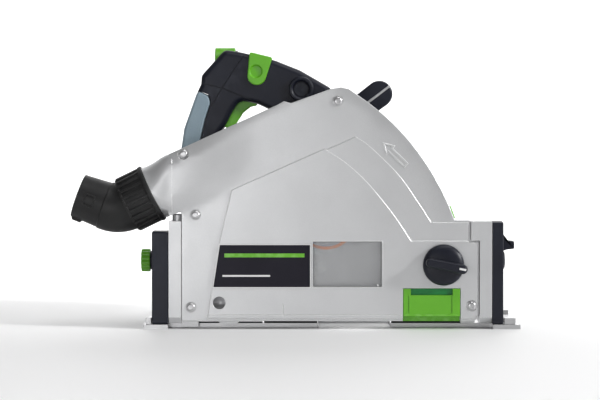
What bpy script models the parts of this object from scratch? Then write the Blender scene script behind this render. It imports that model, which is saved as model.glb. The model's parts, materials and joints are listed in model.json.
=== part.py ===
"""Track plunge saw: sole plate, tilting carriage with blade guard, plunging saw unit.

Lengths in the constants and outlines are millimetres. Outlines are drawn in the saw's own frame:
x forward, y across the saw from the blade plane towards the motor, z up from the sole.
"""
import math

import bmesh
import bpy
from mathutils import Matrix, Vector

MM = 0.001
GAP = 0.3                      # air left between neighbouring pieces

# Sole plate and guide rail groove
BLADE_Y = -84.0                # blade plane, measured from the middle of the sole plate
PLATE_HALF_LENGTH = 165.0
PLATE_NEAR = 2.5
PLATE_FAR = 164.0
PLATE_THICK = 4.0
GROOVE_Y = 110.0
GROOVE_HALF = 9.25
GROOVE_DEEP = 5.0
RIDGE_HALF = 17.0
RIDGE_TOP = 8.2
LOBE_NEAR = -14.0

# Bevel: the axis lies in the blade plane at the work surface, a rail's thickness under the sole
BEVEL_Z = -5.0
BEVEL_MAX = 47.0
CLAMP_RADIUS = 83.0
CLAMP_ANGLE = 48.0
CLAMP_Y = CLAMP_RADIUS * math.cos(math.radians(CLAMP_ANGLE))
CLAMP_Z = BEVEL_Z + CLAMP_RADIUS * math.sin(math.radians(CLAMP_ANGLE))
SLOT_HALF = 3.8
FRONT_SEGMENT = (140.2, 150.0, 99.5)       # inner face, outer face, outside radius
REAR_SEGMENT = (-157.5, -143.1, 91.0)

# Plunge
PIVOT = (-98.6, 23.1)
SWING = 118.8                  # from the plunge pivot to the arbor
REST_ANGLE = 38.16
PLUNGE = 37.2
ARBOR = (PIVOT[0] + SWING * math.cos(math.radians(REST_ANGLE)),
         PIVOT[1] + SWING * math.sin(math.radians(REST_ANGLE)))
LUG_ANGLE = 61.8
LUG_RADIUS = 205.0
KNIFE_LUG_ANGLE = 52.0

# Guard
GUARD_RADIUS = 218.3
GUARD_WALL = 3.5
COVER_FACE = -14.0
COVER_BACK = -11.0
CASTING_NEAR = -10.7
WALL_NEAR = 11.0
WALL_FAR = 15.0
GUARD_REAR = -131.5
CHUTE_END = -140.5
GUARD_BOTTOM = 7.0
SCREWS = [(-129.7, 153.2), (-119.2, 100.0), (-123.3, 19.2), (5.2, 199.5), (122.2, 20.5)]
WINDOW = (-16.6, 37.1, 43.7, 76.7)
NOTCH = (62.0, 0.0, 112.6, 35.9)
KNOB = (97.3, 56.4)

# Dust chute: the axis falls towards the rear
CHUTE_MOUTH = (-157.0, 6.0, 119.3)
CHUTE_SLOPE = 26.0
MOUTH_RADIUS = 24.7
DUCT_WALL = 2.2

# Drive
GEAR_MODULE = 1.1
GEAR_TEETH = 36
PINION_TEETH = 12
GEAR_FACE = (26.0, 40.0)
CENTRES = GEAR_MODULE * (GEAR_TEETH + PINION_TEETH) / 2
MOTOR_ANGLE = 127.0
MOTOR = (ARBOR[0] + CENTRES * math.cos(math.radians(MOTOR_ANGLE)),
         ARBOR[1] + CENTRES * math.sin(math.radians(MOTOR_ANGLE)))
MOTOR_RADIUS = 38.5
MOTOR_FRONT = 44.5
MOTOR_END = 150.0
CAP_END = 167.0
BLADE_RADIUS = 80.0
BLADE_TEETH = 48
FLANGE_RADIUS = 20.0
SHAFT = 6.0

# Handle
HANDLE_MIDDLE = 50.0
HANDLE_HALF = 17.0
TRIGGER_PIN = (-80.0, 204.0)
LEVER_PIN = (-26.8, 210.8)
FRONT_GRIP = (43.5, 207.0)
FRONT_GRIP_FOOT = (22.0, 190.8)
FRONT_GRIP_RADIUS = 12.0
GRIP_FOOT_END = 60.0
GRIP_END = 150.0
RELEASE_TOP = (-63.2, 239.6)   # where the plunge release sits on the handle's top edge
RELEASE_SLOPE = -13.5
INLET_Z = 237.0

TO_POINT = {
    "X": lambda u, v, w: (w, u, v),
    "Y": lambda u, v, w: (u, w, v),
    "Z": lambda u, v, w: (u, v, w),
}

# Each body's parent and the point its own axis goes through
BODIES = {
    "base": (None, (0.0, 0.0, 0.0)),
    "front_adjuster": ("base", (152.0, GROOVE_Y, 0.0)),
    "rear_adjuster": ("base", (-152.0, GROOVE_Y, 0.0)),
    "carriage": ("base", (0.0, 0.0, BEVEL_Z)),
    "front_clamp": ("carriage", (150.0, CLAMP_Y, CLAMP_Z)),
    "rear_clamp": ("carriage", (-157.0, CLAMP_Y, CLAMP_Z)),
    "splinter_slide": ("carriage", (KNOB[0], COVER_FACE, KNOB[1])),
    "splinter_clamp": ("carriage", (KNOB[0], COVER_FACE, KNOB[1])),
    "dust_port": ("carriage", CHUTE_MOUTH),
    "depth_setting": ("carriage", (PIVOT[0], 0.0, PIVOT[1])),
    "saw_unit": ("carriage", (PIVOT[0], 0.0, PIVOT[1])),
    "arbor_line": ("saw_unit", (ARBOR[0], 0.0, ARBOR[1])),
    "motor_line": ("saw_unit", (MOTOR[0], 0.0, MOTOR[1])),
    "trigger_link": ("saw_unit", (TRIGGER_PIN[0], HANDLE_MIDDLE, TRIGGER_PIN[1])),
    "release_slide": ("saw_unit", (RELEASE_TOP[0], HANDLE_MIDDLE, RELEASE_TOP[1])),
    "tool_lever": ("saw_unit", (LEVER_PIN[0], HANDLE_MIDDLE, LEVER_PIN[1])),
    "speed_control": ("saw_unit", (MOTOR[0], CAP_END, MOTOR[1] + 20.0)),
}

# Base colour, roughness and metallic value of each finish
FINISHES = {
    "silver_paint": ((0.62, 0.63, 0.65), 0.42, 0.6),
    "black_plastic": ((0.015, 0.017, 0.028), 0.42, 0.0),
    "green_plastic": ((0.13, 0.48, 0.015), 0.4, 0.0),
    "grip_rubber": ((0.16, 0.24, 0.30), 0.65, 0.0),
    "port_plastic": ((0.018, 0.018, 0.018), 0.5, 0.0),
    "bare_steel": ((0.55, 0.55, 0.56), 0.3, 1.0),
    "aluminium": ((0.7, 0.7, 0.72), 0.4, 1.0),
    "clear_plastic": ((0.8, 0.83, 0.85), 0.1, 0.0),
    "label_film": ((0.012, 0.01, 0.02), 0.35, 0.0),
    "copper": ((0.6, 0.25, 0.1), 0.4, 1.0),
}


# ---------------------------------------------------------------- outlines

def turn(point, centre, degrees):
    """Turn a flat point about a centre, counter-clockwise."""
    angle = math.radians(degrees)
    u = point[0] - centre[0]
    v = point[1] - centre[1]
    return (centre[0] + u * math.cos(angle) - v * math.sin(angle),
            centre[1] + u * math.sin(angle) + v * math.cos(angle))


def polar(centre, radius, degrees):
    """Point at a radius and angle from a centre."""
    return turn((centre[0] + radius, centre[1]), centre, degrees)


def arc(centre, radius, start, end, steps):
    """Points along an arc, both ends included."""
    return [polar(centre, radius, start + (end - start) * i / steps) for i in range(steps + 1)]


def circle(centre, radius, steps=20):
    """Points of a full circle."""
    return arc(centre, radius, 0.0, 360.0, steps)[:-1]


def rectangle(u0, v0, u1, v1):
    """Corner points of an upright rectangle."""
    return [(u0, v0), (u1, v0), (u1, v1), (u0, v1)]


def capsule(a, radius_a, b, radius_b, steps=8):
    """Outline of two circles and the straight lines that touch both."""
    heading = math.degrees(math.atan2(b[1] - a[1], b[0] - a[0]))
    distance = math.hypot(b[0] - a[0], b[1] - a[1])
    lean = math.degrees(math.acos((radius_a - radius_b) / distance))
    near = arc(a, radius_a, heading + lean, heading + 360.0 - lean, steps)
    return near + arc(b, radius_b, heading - lean, heading + lean, steps)


def sector(centre, inner, outer, start, end, steps=12, rounded=False):
    """Outline of a ring's sector, with square or round ends."""
    middle = (inner + outer) / 2
    half = (outer - inner) / 2
    points = arc(centre, outer, start, end, steps)
    if rounded:
        points += arc(polar(centre, middle, end), half, end, end + 180.0, 6)[1:-1]
    points += arc(centre, inner, end, start, steps)
    if rounded:
        points += arc(polar(centre, middle, start), half, start + 180.0, start + 360.0, 6)[1:-1]
    return points


def area(points):
    """Signed area of an outline."""
    pairs = zip(points, points[1:] + points[:1])
    return sum(a[0] * b[1] - b[0] * a[1] for a, b in pairs) / 2


def grown(points, distance):
    """The outline moved outwards by a distance, or inwards by a negative one."""
    ordered = points if area(points) > 0 else points[::-1]
    moved = []
    for i, point in enumerate(ordered):
        before = Vector(point) - Vector(ordered[i - 1])
        after = Vector(ordered[(i + 1) % len(ordered)]) - Vector(point)
        first = Vector((before.y, -before.x)).normalized()
        second = Vector((after.y, -after.x)).normalized()
        bisector = (first + second).normalized()
        reach = distance / max(bisector.dot(first), 0.5)
        moved.append((point[0] + bisector.x * reach, point[1] + bisector.y * reach))
    return moved


def gear_outline(centre, teeth, phase, backlash):
    """Outline of a spur gear with straight-sided teeth."""
    pitch = GEAR_MODULE * teeth / 2
    points = []
    for tooth in range(teeth):
        middle = phase + 360.0 * tooth / teeth
        for radius, share in ((pitch - 1.25 * GEAR_MODULE, -0.40), (pitch, -0.25),
                              (pitch + 0.9 * GEAR_MODULE, -0.11), (pitch + 0.9 * GEAR_MODULE, 0.11),
                              (pitch, 0.25), (pitch - 1.25 * GEAR_MODULE, 0.40)):
            slim = math.copysign(math.degrees(backlash / pitch), -share)
            points.append(polar(centre, radius, middle + share * 360.0 / teeth + slim))
    return points


# ---------------------------------------------------------------- solids

def solid(bm, name="shape"):
    """Turn a finished bmesh into an object, with its faces pointing out."""
    bmesh.ops.remove_doubles(bm, verts=bm.verts, dist=1e-7)
    bmesh.ops.recalc_face_normals(bm, faces=bm.faces)
    mesh = bpy.data.meshes.new(name)
    bm.to_mesh(mesh)
    bm.free()
    shape = bpy.data.objects.new(name, mesh)
    bpy.context.scene.collection.objects.link(shape)
    return shape


def rim_levels(low, high, round_low, round_high, steps):
    """Heights through a slab and how far its outline is drawn in at each."""
    levels = []
    for i in range(steps if round_low else 0):
        angle = math.pi / 2 * i / steps
        levels.append((low + round_low * (1 - math.sin(angle)), round_low * (1 - math.cos(angle))))
    levels.reverse()
    if not round_low:
        levels.append((low, 0.0))
    upper = []
    for i in range(steps if round_high else 0):
        angle = math.pi / 2 * i / steps
        upper.append((high - round_high * (1 - math.sin(angle)), round_high * (1 - math.cos(angle))))
    if not round_high:
        upper.append((high, 0.0))
    first = [(low, round_low)] if round_low else []
    last = [(high, round_high)] if round_high else []
    return first + levels + upper + last


def ring_of(bm, points):
    """A closed loop of vertices and edges; returns the vertices."""
    verts = [bm.verts.new(Vector(point) * MM) for point in points]
    for a, b in zip(verts, verts[1:] + verts[:1]):
        bm.edges.new((a, b))
    return verts


def skin(bm, first, second):
    """Quads between two loops with the same number of vertices."""
    count = len(first)
    for i in range(count):
        j = (i + 1) % count
        bm.faces.new((first[i], first[j], second[j], second[i]))


def slab(outline, low, high, axis="Y", holes=(), round_low=0.0, round_high=0.0, steps=2):
    """Solid of an outline between two levels, with holes and rounded rims if wanted."""
    to_point = TO_POINT[axis]
    bm = bmesh.new()
    previous = None
    levels = rim_levels(low, high, round_low, round_high, steps)
    for number, (level, inset) in enumerate(levels):
        flat_loops = [grown(outline, -inset)] + [grown(hole, inset) for hole in holes]
        loops = [ring_of(bm, [to_point(u, v, level) for u, v in loop]) for loop in flat_loops]
        if number in (0, len(levels) - 1):
            fill_loops(bm, loops)
        if previous:
            for first, second in zip(previous, loops):
                skin(bm, first, second)
        previous = loops
    return solid(bm)


def fill_loops(bm, loops):
    """Flat faces inside the first loop and outside the others."""
    edges = []
    for loop in loops:
        members = set(loop)
        edges += [edge for edge in bm.edges if set(edge.verts) <= members]
    bmesh.ops.triangle_fill(bm, use_beauty=True, use_dissolve=False, edges=edges)


def box(low, high):
    """Upright box between two corners."""
    return slab(rectangle(low[0], low[1], high[0], high[1]), low[2], high[2], axis="Z")


def turned(profile, centre, axis="Y", steps=18):
    """Solid of revolution of (radius, level) points about a line through a flat centre.

    A profile that starts at radius 0 also ends there; any other one is a closed loop.
    """
    to_point = TO_POINT[axis]
    bm = bmesh.new()
    points = [to_point(centre[0] + radius, centre[1], level) for radius, level in profile]
    verts = [bm.verts.new(Vector(point) * MM) for point in points]
    touches_axis = profile[0][0] == 0.0
    for a, b in zip(verts, verts[1:] if touches_axis else verts[1:] + verts[:1]):
        bm.edges.new((a, b))
    bmesh.ops.spin(bm, geom=bm.verts[:] + bm.edges[:], steps=steps, angle=2 * math.pi,
                   cent=Vector(to_point(centre[0], centre[1], 0.0)) * MM,
                   axis=Vector(to_point(0.0, 0.0, 1.0)), use_merge=True)
    bmesh.ops.remove_doubles(bm, verts=bm.verts, dist=1e-6)
    return solid(bm)


def rod(radius, low, high, centre, axis="Y", bore=0.0, ease=0.0, steps=18):
    """Round bar or tube along an axis, with eased rims."""
    outer = [(radius - ease, low), (radius, low + ease), (radius, high - ease), (radius - ease, high)]
    if not ease:
        outer = [(radius, low), (radius, high)]
    return turned([(bore, low)] + outer + [(bore, high)], centre, axis, steps)


def combine(shape, tools, operation):
    """Apply a Boolean of a shape with each tool, and remove the tools."""
    for tool in tools:
        modifier = shape.modifiers.new("combine", "BOOLEAN")
        modifier.operation = operation
        modifier.object = tool
        graph = bpy.context.evaluated_depsgraph_get()
        mesh = bpy.data.meshes.new_from_object(shape.evaluated_get(graph))
        shape.modifiers.clear()
        shape.data = mesh
        bpy.data.objects.remove(tool)
        clean(mesh)
    return shape


def clean(mesh):
    """Merge the hair-thin edges that a Boolean leaves."""
    bm = bmesh.new()
    bm.from_mesh(mesh)
    bmesh.ops.remove_doubles(bm, verts=bm.verts, dist=3e-6)
    bmesh.ops.dissolve_degenerate(bm, edges=bm.edges, dist=2e-6)
    bm.to_mesh(mesh)
    bm.free()


def joined(shape, *tools):
    """Union of a shape with other shapes."""
    return combine(shape, tools, "UNION")


def cut(shape, *tools):
    """The shape with other shapes taken away."""
    return combine(shape, tools, "DIFFERENCE")


def leaned(shape, centre, degrees, axis):
    """Turn a shape's mesh about a line through a point in saw coordinates."""
    middle = Vector(centre) * MM
    spin = Matrix.Rotation(math.radians(degrees), 4, axis)
    shape.data.transform(Matrix.Translation(middle) @ spin @ Matrix.Translation(-middle))
    return shape


def bevel_room():
    """Everything under the work surface when the carriage leans over fully."""
    fall = math.tan(math.radians(BEVEL_MAX))
    clear = BEVEL_Z + 0.4
    outline = [(-40.0, clear + 40.0 * fall), (0.0, clear), (0.0, -40.0), (-40.0, -40.0)]
    return slab(outline, -200.0, 200.0, axis="X")


# ---------------------------------------------------------------- scene tree

def make_material(name):
    """Principled material of a named finish."""
    colour, roughness, metallic = FINISHES[name]
    material = bpy.data.materials.new(name)
    material.use_nodes = True
    shader = material.node_tree.nodes["Principled BSDF"]
    shader.inputs["Base Color"].default_value = (*colour, 1.0)
    shader.inputs["Roughness"].default_value = roughness
    shader.inputs["Metallic"].default_value = metallic
    if name == "clear_plastic":
        shader.inputs["Transmission Weight"].default_value = 0.9
    return material


def make_tree():
    """An empty on every body's axis, each under its parent's."""
    empties = {}
    for name, (parent, pivot) in BODIES.items():
        empty = bpy.data.objects.new(name + "_axis", None)
        bpy.context.scene.collection.objects.link(empty)
        if parent:
            empty.parent = empties[parent]
            empty.location = (Vector(pivot) - Vector(BODIES[parent][1])) * MM
        else:
            empty.location = Vector((0.0, BLADE_Y, 0.0)) * MM
        empties[name] = empty
    return empties


def place(shape, name, body, finish):
    """Name a shape, give it its finish and hang it on its body's axis."""
    pivot = Vector(BODIES[body][1]) * MM
    shape.data.transform(Matrix.Translation(-pivot))
    shape.name = name
    shape.data.name = name
    shape.parent = EMPTIES[body]
    shape.data.materials.clear()
    shape.data.materials.append(MATERIALS[finish])
    shape.data.shade_smooth()
    shape.data.set_sharp_from_angle(angle=math.radians(35))
    return shape


# ---------------------------------------------------------------- sole plate and tilt guides

def base_plate():
    """Sole: rolled section with the rail groove, cut out where the gear housing plunges."""
    ridge_foot = RIDGE_HALF + 2.0
    section = [(PLATE_NEAR, 0.0), (GROOVE_Y - GROOVE_HALF, 0.0),
               (GROOVE_Y - GROOVE_HALF, GROOVE_DEEP), (GROOVE_Y + GROOVE_HALF, GROOVE_DEEP),
               (GROOVE_Y + GROOVE_HALF, 0.0), (PLATE_FAR, 0.0), (PLATE_FAR, 10.0),
               (PLATE_FAR - 3.0, 10.0), (PLATE_FAR - 3.0, PLATE_THICK),
               (GROOVE_Y + ridge_foot, PLATE_THICK), (GROOVE_Y + RIDGE_HALF, RIDGE_TOP),
               (GROOVE_Y - RIDGE_HALF, RIDGE_TOP), (GROOVE_Y - ridge_foot, PLATE_THICK),
               (PLATE_NEAR, PLATE_THICK)]
    plate = slab(section, -PLATE_HALF_LENGTH, PLATE_HALF_LENGTH, axis="X")
    front_lobe = box((141.0, LOBE_NEAR, 0.0), (PLATE_HALF_LENGTH, 4.0, PLATE_THICK))
    rear_lobe = box((-PLATE_HALF_LENGTH, LOBE_NEAR, 0.0), (-143.5, 4.0, PLATE_THICK))
    joined(plate, front_lobe, rear_lobe)
    housing_room = box((-12.0, 0.0, -1.0), (52.0, 51.0, PLATE_THICK + 1.0))
    cams = [rod(3.3, -1.0, RIDGE_TOP + 1.0, (side * 152.0, GROOVE_Y), axis="Z", steps=10)
            for side in (-1, 1)]
    return place(cut(plate, housing_room, *cams), "base_plate", "base", "bare_steel")


def rail_adjuster(name, side):
    """Cam in the rail groove, turned by a small knob on top of the ridge."""
    x = side * 152.0
    cam = rod(7.0, 1.0, GROOVE_DEEP - GAP, (x, GROOVE_Y + 1.6), axis="Z", steps=14)
    stem = rod(3.0, 4.0, 10.0, (x, GROOVE_Y), axis="Z", steps=10)
    knob = rod(8.0, RIDGE_TOP + GAP, 12.6, (x, GROOVE_Y), axis="Z", ease=0.8, steps=16)
    grip = slab(rectangle(x - 6.5, GROOVE_Y - 1.6, x + 6.5, GROOVE_Y + 1.6), 12.0, 15.0, axis="Z")
    return place(joined(cam, stem, knob, grip), name + "_adjuster", name + "_adjuster", "green_plastic")


def tilt_segment(name, faces):
    """Upright plate on the sole with the arc slot that guides the carriage's clamp bolt."""
    inner, outer, radius = faces
    hinge = (0.0, BEVEL_Z)
    foot = PLATE_THICK + GAP
    near_angle = math.degrees(math.acos(LOBE_NEAR / radius))
    outline = arc(hinge, radius, near_angle, 26.0, 12)
    outline += [(outline[-1][0], foot), (LOBE_NEAR, foot)]
    slot = sector(hinge, CLAMP_RADIUS - SLOT_HALF, CLAMP_RADIUS + SLOT_HALF,
                  CLAMP_ANGLE - 1.6, CLAMP_ANGLE + BEVEL_MAX + 0.6, 10, rounded=True)
    plate = slab(outline, inner, outer, axis="X", holes=[slot], round_low=1.0, round_high=1.0, steps=1)
    return place(plate, name + "_tilt_segment", "base", "black_plastic")


# ---------------------------------------------------------------- carriage

def guard_outline():
    """Side outline shared by the guard's casting and its cover."""
    front = [(107.4, 95.2), (121.3, 95.2), (121.3, 77.3), (128.8, 77.3), (128.8, 12.0),
             (125.0, GUARD_BOTTOM)]
    rear = [(GUARD_REAR, GUARD_BOTTOM), (GUARD_REAR, 103.5), (CHUTE_END, 99.8), (CHUTE_END, 154.0)]
    top = [(-48.0, 196.0), (-42.0, 199.3), (-36.0, 197.6), (-1.1, 210.0), (7.9, 211.7), (14.5, 210.2)]
    return rear + top + arc(PIVOT, GUARD_RADIUS, 56.2, 20.2, 12) + front


def arbor_slot():
    """Slot along the arbor's swing, with a narrower run above it for the riving knife's lug."""
    swept = sector(PIVOT, SWING - 22.0, SWING + 22.0, REST_ANGLE - PLUNGE, REST_ANGLE, 10, rounded=True)
    lug_run = sector(PIVOT, SWING - 8.5, SWING + 8.5, REST_ANGLE, KNIFE_LUG_ANGLE, 4, rounded=True)
    return [slab(outline, WALL_NEAR - 2.0, WALL_FAR + 2.0) for outline in (swept, lug_run)]


def pivot_boss():
    """Boss that carries the plunge pivot inside the guard, low enough to show under its edge."""
    boss = slab(capsule(PIVOT, 11.0, (-90.4, 17.4), 15.0), -5.0, WALL_NEAR + 0.5)
    over_plate = box((-130.0, 2.0, -5.0), (-60.0, 20.0, PLATE_THICK + 1.5))
    return cut(boss, over_plate)


def guard_casting():
    """Back half of the guard: arc wall, bosses, pivot and arbor slot."""
    outline = guard_outline()
    casting = slab(outline, CASTING_NEAR, WALL_FAR)
    inside = grown(outline, -GUARD_WALL)
    open_below = [(x, -10.0 if z < 14.0 else z) for x, z in inside]
    pocket = slab(open_below, CASTING_NEAR - 1.0, WALL_NEAR)
    chute_door = box((CHUTE_END - 2.0, -8.0, 107.0), (CHUTE_END + 6.0, WALL_NEAR - 0.5, 147.0))
    cut(casting, pocket, chute_door)
    bosses = [rod(4.6, CASTING_NEAR + 0.2, WALL_NEAR + 0.5, centre, steps=10) for centre in SCREWS]
    far_boss = rod(11.0, WALL_FAR - 0.5, 16.2, PIVOT)
    corners = [box((GUARD_REAR + 0.2, -5.0, 1.2), (-117.0, 2.0, 12.2)),
               box((113.2, -5.0, 4.8), (125.6, 2.0, 10.2))]
    joined(casting, *bosses, pivot_boss(), far_boss, *corners)
    pin_bore = rod(6.3, -12.0, 18.0, PIVOT)
    screw_bores = [rod(2.2, -12.0, 8.0, centre, steps=8) for centre in SCREWS]
    cut(casting, pin_bore, *screw_bores, *arbor_slot(), bevel_room())
    return place(casting, "guard_casting", "carriage", "silver_paint")


def guard_cover():
    """Front half of the guard, with the sight window, pivot hole and splinter guard notch."""
    window = rectangle(*WINDOW)
    holes = [window, circle(PIVOT, 5.6, 20), circle(KNOB, 3.3, 12)]
    cover = slab(guard_outline(), COVER_FACE, COVER_BACK, holes=holes, round_low=1.0, steps=2)
    notch = slab(rectangle(*NOTCH), COVER_FACE - 2.0, COVER_BACK + 2.0)
    counterbores = [turned([(0.0, -8.0), (2.3, -8.0), (2.3, -12.9), (4.8, -12.9), (4.8, -16.0),
                            (0.0, -16.0)], centre, steps=10) for centre in SCREWS]
    cut(cover, notch, *counterbores, bevel_room())
    return place(cover, "guard_cover", "carriage", "silver_paint")


def cover_screw(number, centre):
    """Button-head screw that holds the cover to the casting."""
    profile = [(0.0, 6.0), (1.9, 6.0), (1.9, -13.2), (4.4, -13.2), (4.4, -13.8), (3.4, -15.0),
               (1.8, -15.3), (1.8, -14.0), (0.0, -14.0)]
    return place(turned(profile, centre, steps=8), f"cover_screw_{number}", "carriage", "bare_steel")


def label_plate():
    """Plain dark name plate with a slanted end."""
    outline = [(-98.6, 74.5), (-18.4, 74.5), (-18.4, 36.2), (-104.5, 36.2)]
    plate = slab(outline, COVER_FACE - 0.9, COVER_FACE - GAP)
    return place(plate, "label_plate", "carriage", "label_film")


def sight_window():
    """Clear pane in the cover's window."""
    pane = slab(grown(rectangle(*WINDOW), -GAP), COVER_FACE + 0.7, COVER_BACK - 0.1)
    return place(pane, "sight_window", "carriage", "clear_plastic")


def superellipse(angle, half_width, half_height):
    """Point of a square-shouldered oval at an angle."""
    across = math.copysign(math.sqrt(abs(math.cos(angle))), math.cos(angle))
    up = math.copysign(math.sqrt(abs(math.sin(angle))), math.sin(angle))
    return half_width * across, half_height * up


def duct_ring(share, wall, steps=24):
    """One ring of the chute, from its round mouth (0) to its square end at the guard (1)."""
    lean = math.radians(CHUTE_SLOPE)
    points = []
    for i in range(steps):
        angle = 2 * math.pi * i / steps
        across = (MOUTH_RADIUS - wall) * math.cos(angle)
        up = (MOUTH_RADIUS - wall) * math.sin(angle)
        mouth = Vector(CHUTE_MOUTH) + Vector((-up * math.sin(lean), across, up * math.cos(lean)))
        across, up = superellipse(angle, 14.5 - wall, 27.0 - wall)
        end = Vector((CHUTE_END - GAP, 0.5 + across, 126.9 + up))
        points.append(mouth.lerp(end, share))
    return points


def loft(outer_rings, inner_rings):
    """Tube skinned over matching outer and inner rings, open at both ends."""
    bm = bmesh.new()
    rings = [ring_of(bm, ring) for ring in outer_rings + inner_rings[::-1]]
    for first, second in zip(rings, rings[1:] + rings[:1]):
        skin(bm, first, second)
    return solid(bm)


def dust_duct():
    """Short chute from the guard to the round dust port."""
    stations = (0.0, 0.5, 1.0)
    outer = [duct_ring(share, 0.0) for share in stations]
    inner = [duct_ring(share, DUCT_WALL) for share in stations]
    return place(loft(outer, inner), "dust_duct", "carriage", "silver_paint")


def tilt_bracket(name, low, high, outline):
    """Upright arm from the guard to its clamp bolt, beside the tilt segment."""
    plate = slab(outline, low, high, axis="X", holes=[circle((CLAMP_Y, CLAMP_Z), 3.3, 12)])
    if name == "front":
        joined(plate, box((121.6, -14.0, 77.6), (low + 1.0, 15.0, 94.5)))
    cut(plate, bevel_room())
    return place(plate, name + "_bracket", "carriage", "silver_paint")


def tilt_brackets():
    """Front and rear arms."""
    tail = [(68.0, 57.0), (62.0, 44.0), (32.0, 30.0), (16.0, 6.0), (-14.0, 5.0)]
    front = [(-14.0, 94.5), (15.0, 94.5), (30.0, 82.0), (45.0, 67.0), (63.0, 67.0)] + tail
    rear = [(-14.0, 94.5), (15.0, 94.5), (30.0, 86.0), (62.0, 69.0)] + tail
    tilt_bracket("front", 129.2, 139.9, front)
    tilt_bracket("rear", -142.8, -131.8, rear)


def clamp_bolt(name, head, face, end):
    """Bolt through a bracket and its tilt segment; its head is inside the bracket."""
    low, high = sorted((face, end))
    shank = rod(3.0, low, high, (CLAMP_Y, CLAMP_Z), axis="X", steps=14)
    low, high = sorted((head, face))
    cap = slab(circle((CLAMP_Y, CLAMP_Z), 6.0, 6), low, high, axis="X")
    return place(joined(cap, shank), name + "_clamp_bolt", "carriage", "bare_steel")


def pivot_pin():
    """Headed pin that the saw unit swings on."""
    profile = [(0.0, -9.0), (8.0, -9.0), (9.0, -8.0), (9.0, -5.3), (6.0, -5.3), (6.0, 59.0), (0.0, 59.0)]
    return place(turned(profile, PIVOT), "pivot_pin", "carriage", "bare_steel")


def pivot_nut():
    """Nut on the far end of the plunge pivot."""
    nut = slab(circle(PIVOT, 10.0, 6), 54.0, 58.6, holes=[circle(PIVOT, 6.3, 24)])
    return place(nut, "pivot_nut", "carriage", "bare_steel")


def coil_point(turns, level, radius):
    """Point along the return spring."""
    angle = 2 * math.pi * turns
    return Vector((PIVOT[0] + radius * math.cos(angle), level, PIVOT[1] + radius * math.sin(angle)))


def plunge_spring():
    """Torsion spring around the plunge pivot, with a short leg at each end."""
    turns, per_turn, wire = 3, 12, 1.1
    count = turns * per_turn
    path = [coil_point(i / per_turn, 43.9 + 8.2 * i / count, 9.4) for i in range(count + 1)]
    path.insert(0, coil_point(0.0, 43.9, 9.4) + Vector((1.5, 0.0, -7.0)))
    path.append(coil_point(turns, 52.1, 9.4) + Vector((1.5, 0.0, 7.0)))
    bm = bmesh.new()
    rings = []
    for i, point in enumerate(path):
        along = path[min(i + 1, len(path) - 1)] - path[max(i - 1, 0)]
        across = Vector((0.0, 1.0, 0.0)).cross(along).normalized()
        up = along.normalized().cross(across)
        angles = [2 * math.pi * k / 5 for k in range(5)]
        rings.append(ring_of(bm, [point + across * wire * math.cos(a) + up * wire * math.sin(a)
                                  for a in angles]))
    for first, second in zip(rings, rings[1:]):
        skin(bm, first, second)
    fill_loops(bm, [rings[0]])
    fill_loops(bm, [rings[-1]])
    return place(solid(bm), "plunge_spring", "carriage", "bare_steel")


def depth_scale():
    """Curved scale strip on the back of the guard."""
    strip = slab(sector(PIVOT, 195.0, 202.0, 18.0, 54.0, 12), WALL_FAR + GAP, WALL_FAR + 1.3)
    return place(strip, "depth_scale", "carriage", "black_plastic")


def depth_stop():
    """Stop block that slides along the guard's arc, with a button on its outer side."""
    block = slab(sector(PIVOT, 203.5, 221.0, 19.3, 22.5, 2), WALL_FAR + 1.0, 28.0)
    button = rod(4.0, 27.5, 30.2, polar(PIVOT, 212.0, 20.9), ease=0.6, steps=12)
    return place(joined(block, button), "depth_stop", "depth_setting", "green_plastic")


def splinter_guard():
    """Green insert beside the blade's front edge, on a slotted stem behind the cover."""
    left, right = NOTCH[0] + GAP, NOTCH[2] - GAP
    block = box((left, COVER_FACE, 12.0), (right, -5.0, NOTCH[3] - GAP))
    foot = box((left, -6.5, 6.6), (right, -2.4, 14.0))
    stem = box((84.0, -10.6, 30.0), (110.0, -7.6, 74.0))
    joined(block, foot, stem)
    recess = box((69.0, -16.0, 30.0), (105.6, -11.4, 40.0))
    slot = slab(capsule((KNOB[0], KNOB[1] - 3.0), 3.4, (KNOB[0], KNOB[1] + 8.0), 3.39, 6), -12.0, -6.0)
    return place(cut(block, recess, slot), "splinter_guard", "splinter_slide", "green_plastic")


def splinter_guard_knob():
    """Round clamp knob with a bar across it."""
    disc = rod(18.0, -21.5, COVER_FACE - GAP, KNOB, ease=2.0, steps=24)
    bar = slab(rectangle(KNOB[0] - 16.0, KNOB[1] - 4.2, KNOB[0] + 20.6, KNOB[1] + 4.2), -30.0, -21.0,
               round_low=1.5)
    leaned(bar, (KNOB[0], 0.0, KNOB[1]), 11.0, "Y")
    shank = rod(3.0, -15.0, -6.4, KNOB, steps=12)
    return place(joined(disc, bar, shank), "splinter_guard_knob", "splinter_clamp", "black_plastic")


def front_tilt_lever():
    """Clamp lever in front of the front tilt segment, with a thumb tab."""
    centre = (CLAMP_Y, CLAMP_Z)
    lower = slab(capsule(centre, 11.0, (CLAMP_Y, 27.5), 5.0, 6), 150.3, 154.2, axis="X")
    upper = slab(capsule(centre, 10.6, (CLAMP_Y, 79.5), 5.4, 6), 150.3, 154.0, axis="X")
    tab = slab([(153.5, 66.8), (165.9, 67.2), (165.9, 74.0), (159.5, 74.6), (156.0, 78.5), (153.5, 84.0)],
               CLAMP_Y - 7.5, CLAMP_Y + 7.5)
    hub = rod(8.0, 153.0, 157.5, centre, axis="X", ease=0.8, steps=14)
    joined(lower, upper, tab, hub)
    bore = rod(3.3, 149.0, 159.0, centre, axis="X", steps=10)
    return place(cut(lower, bore), "front_tilt_lever", "front_clamp", "black_plastic")


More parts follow.
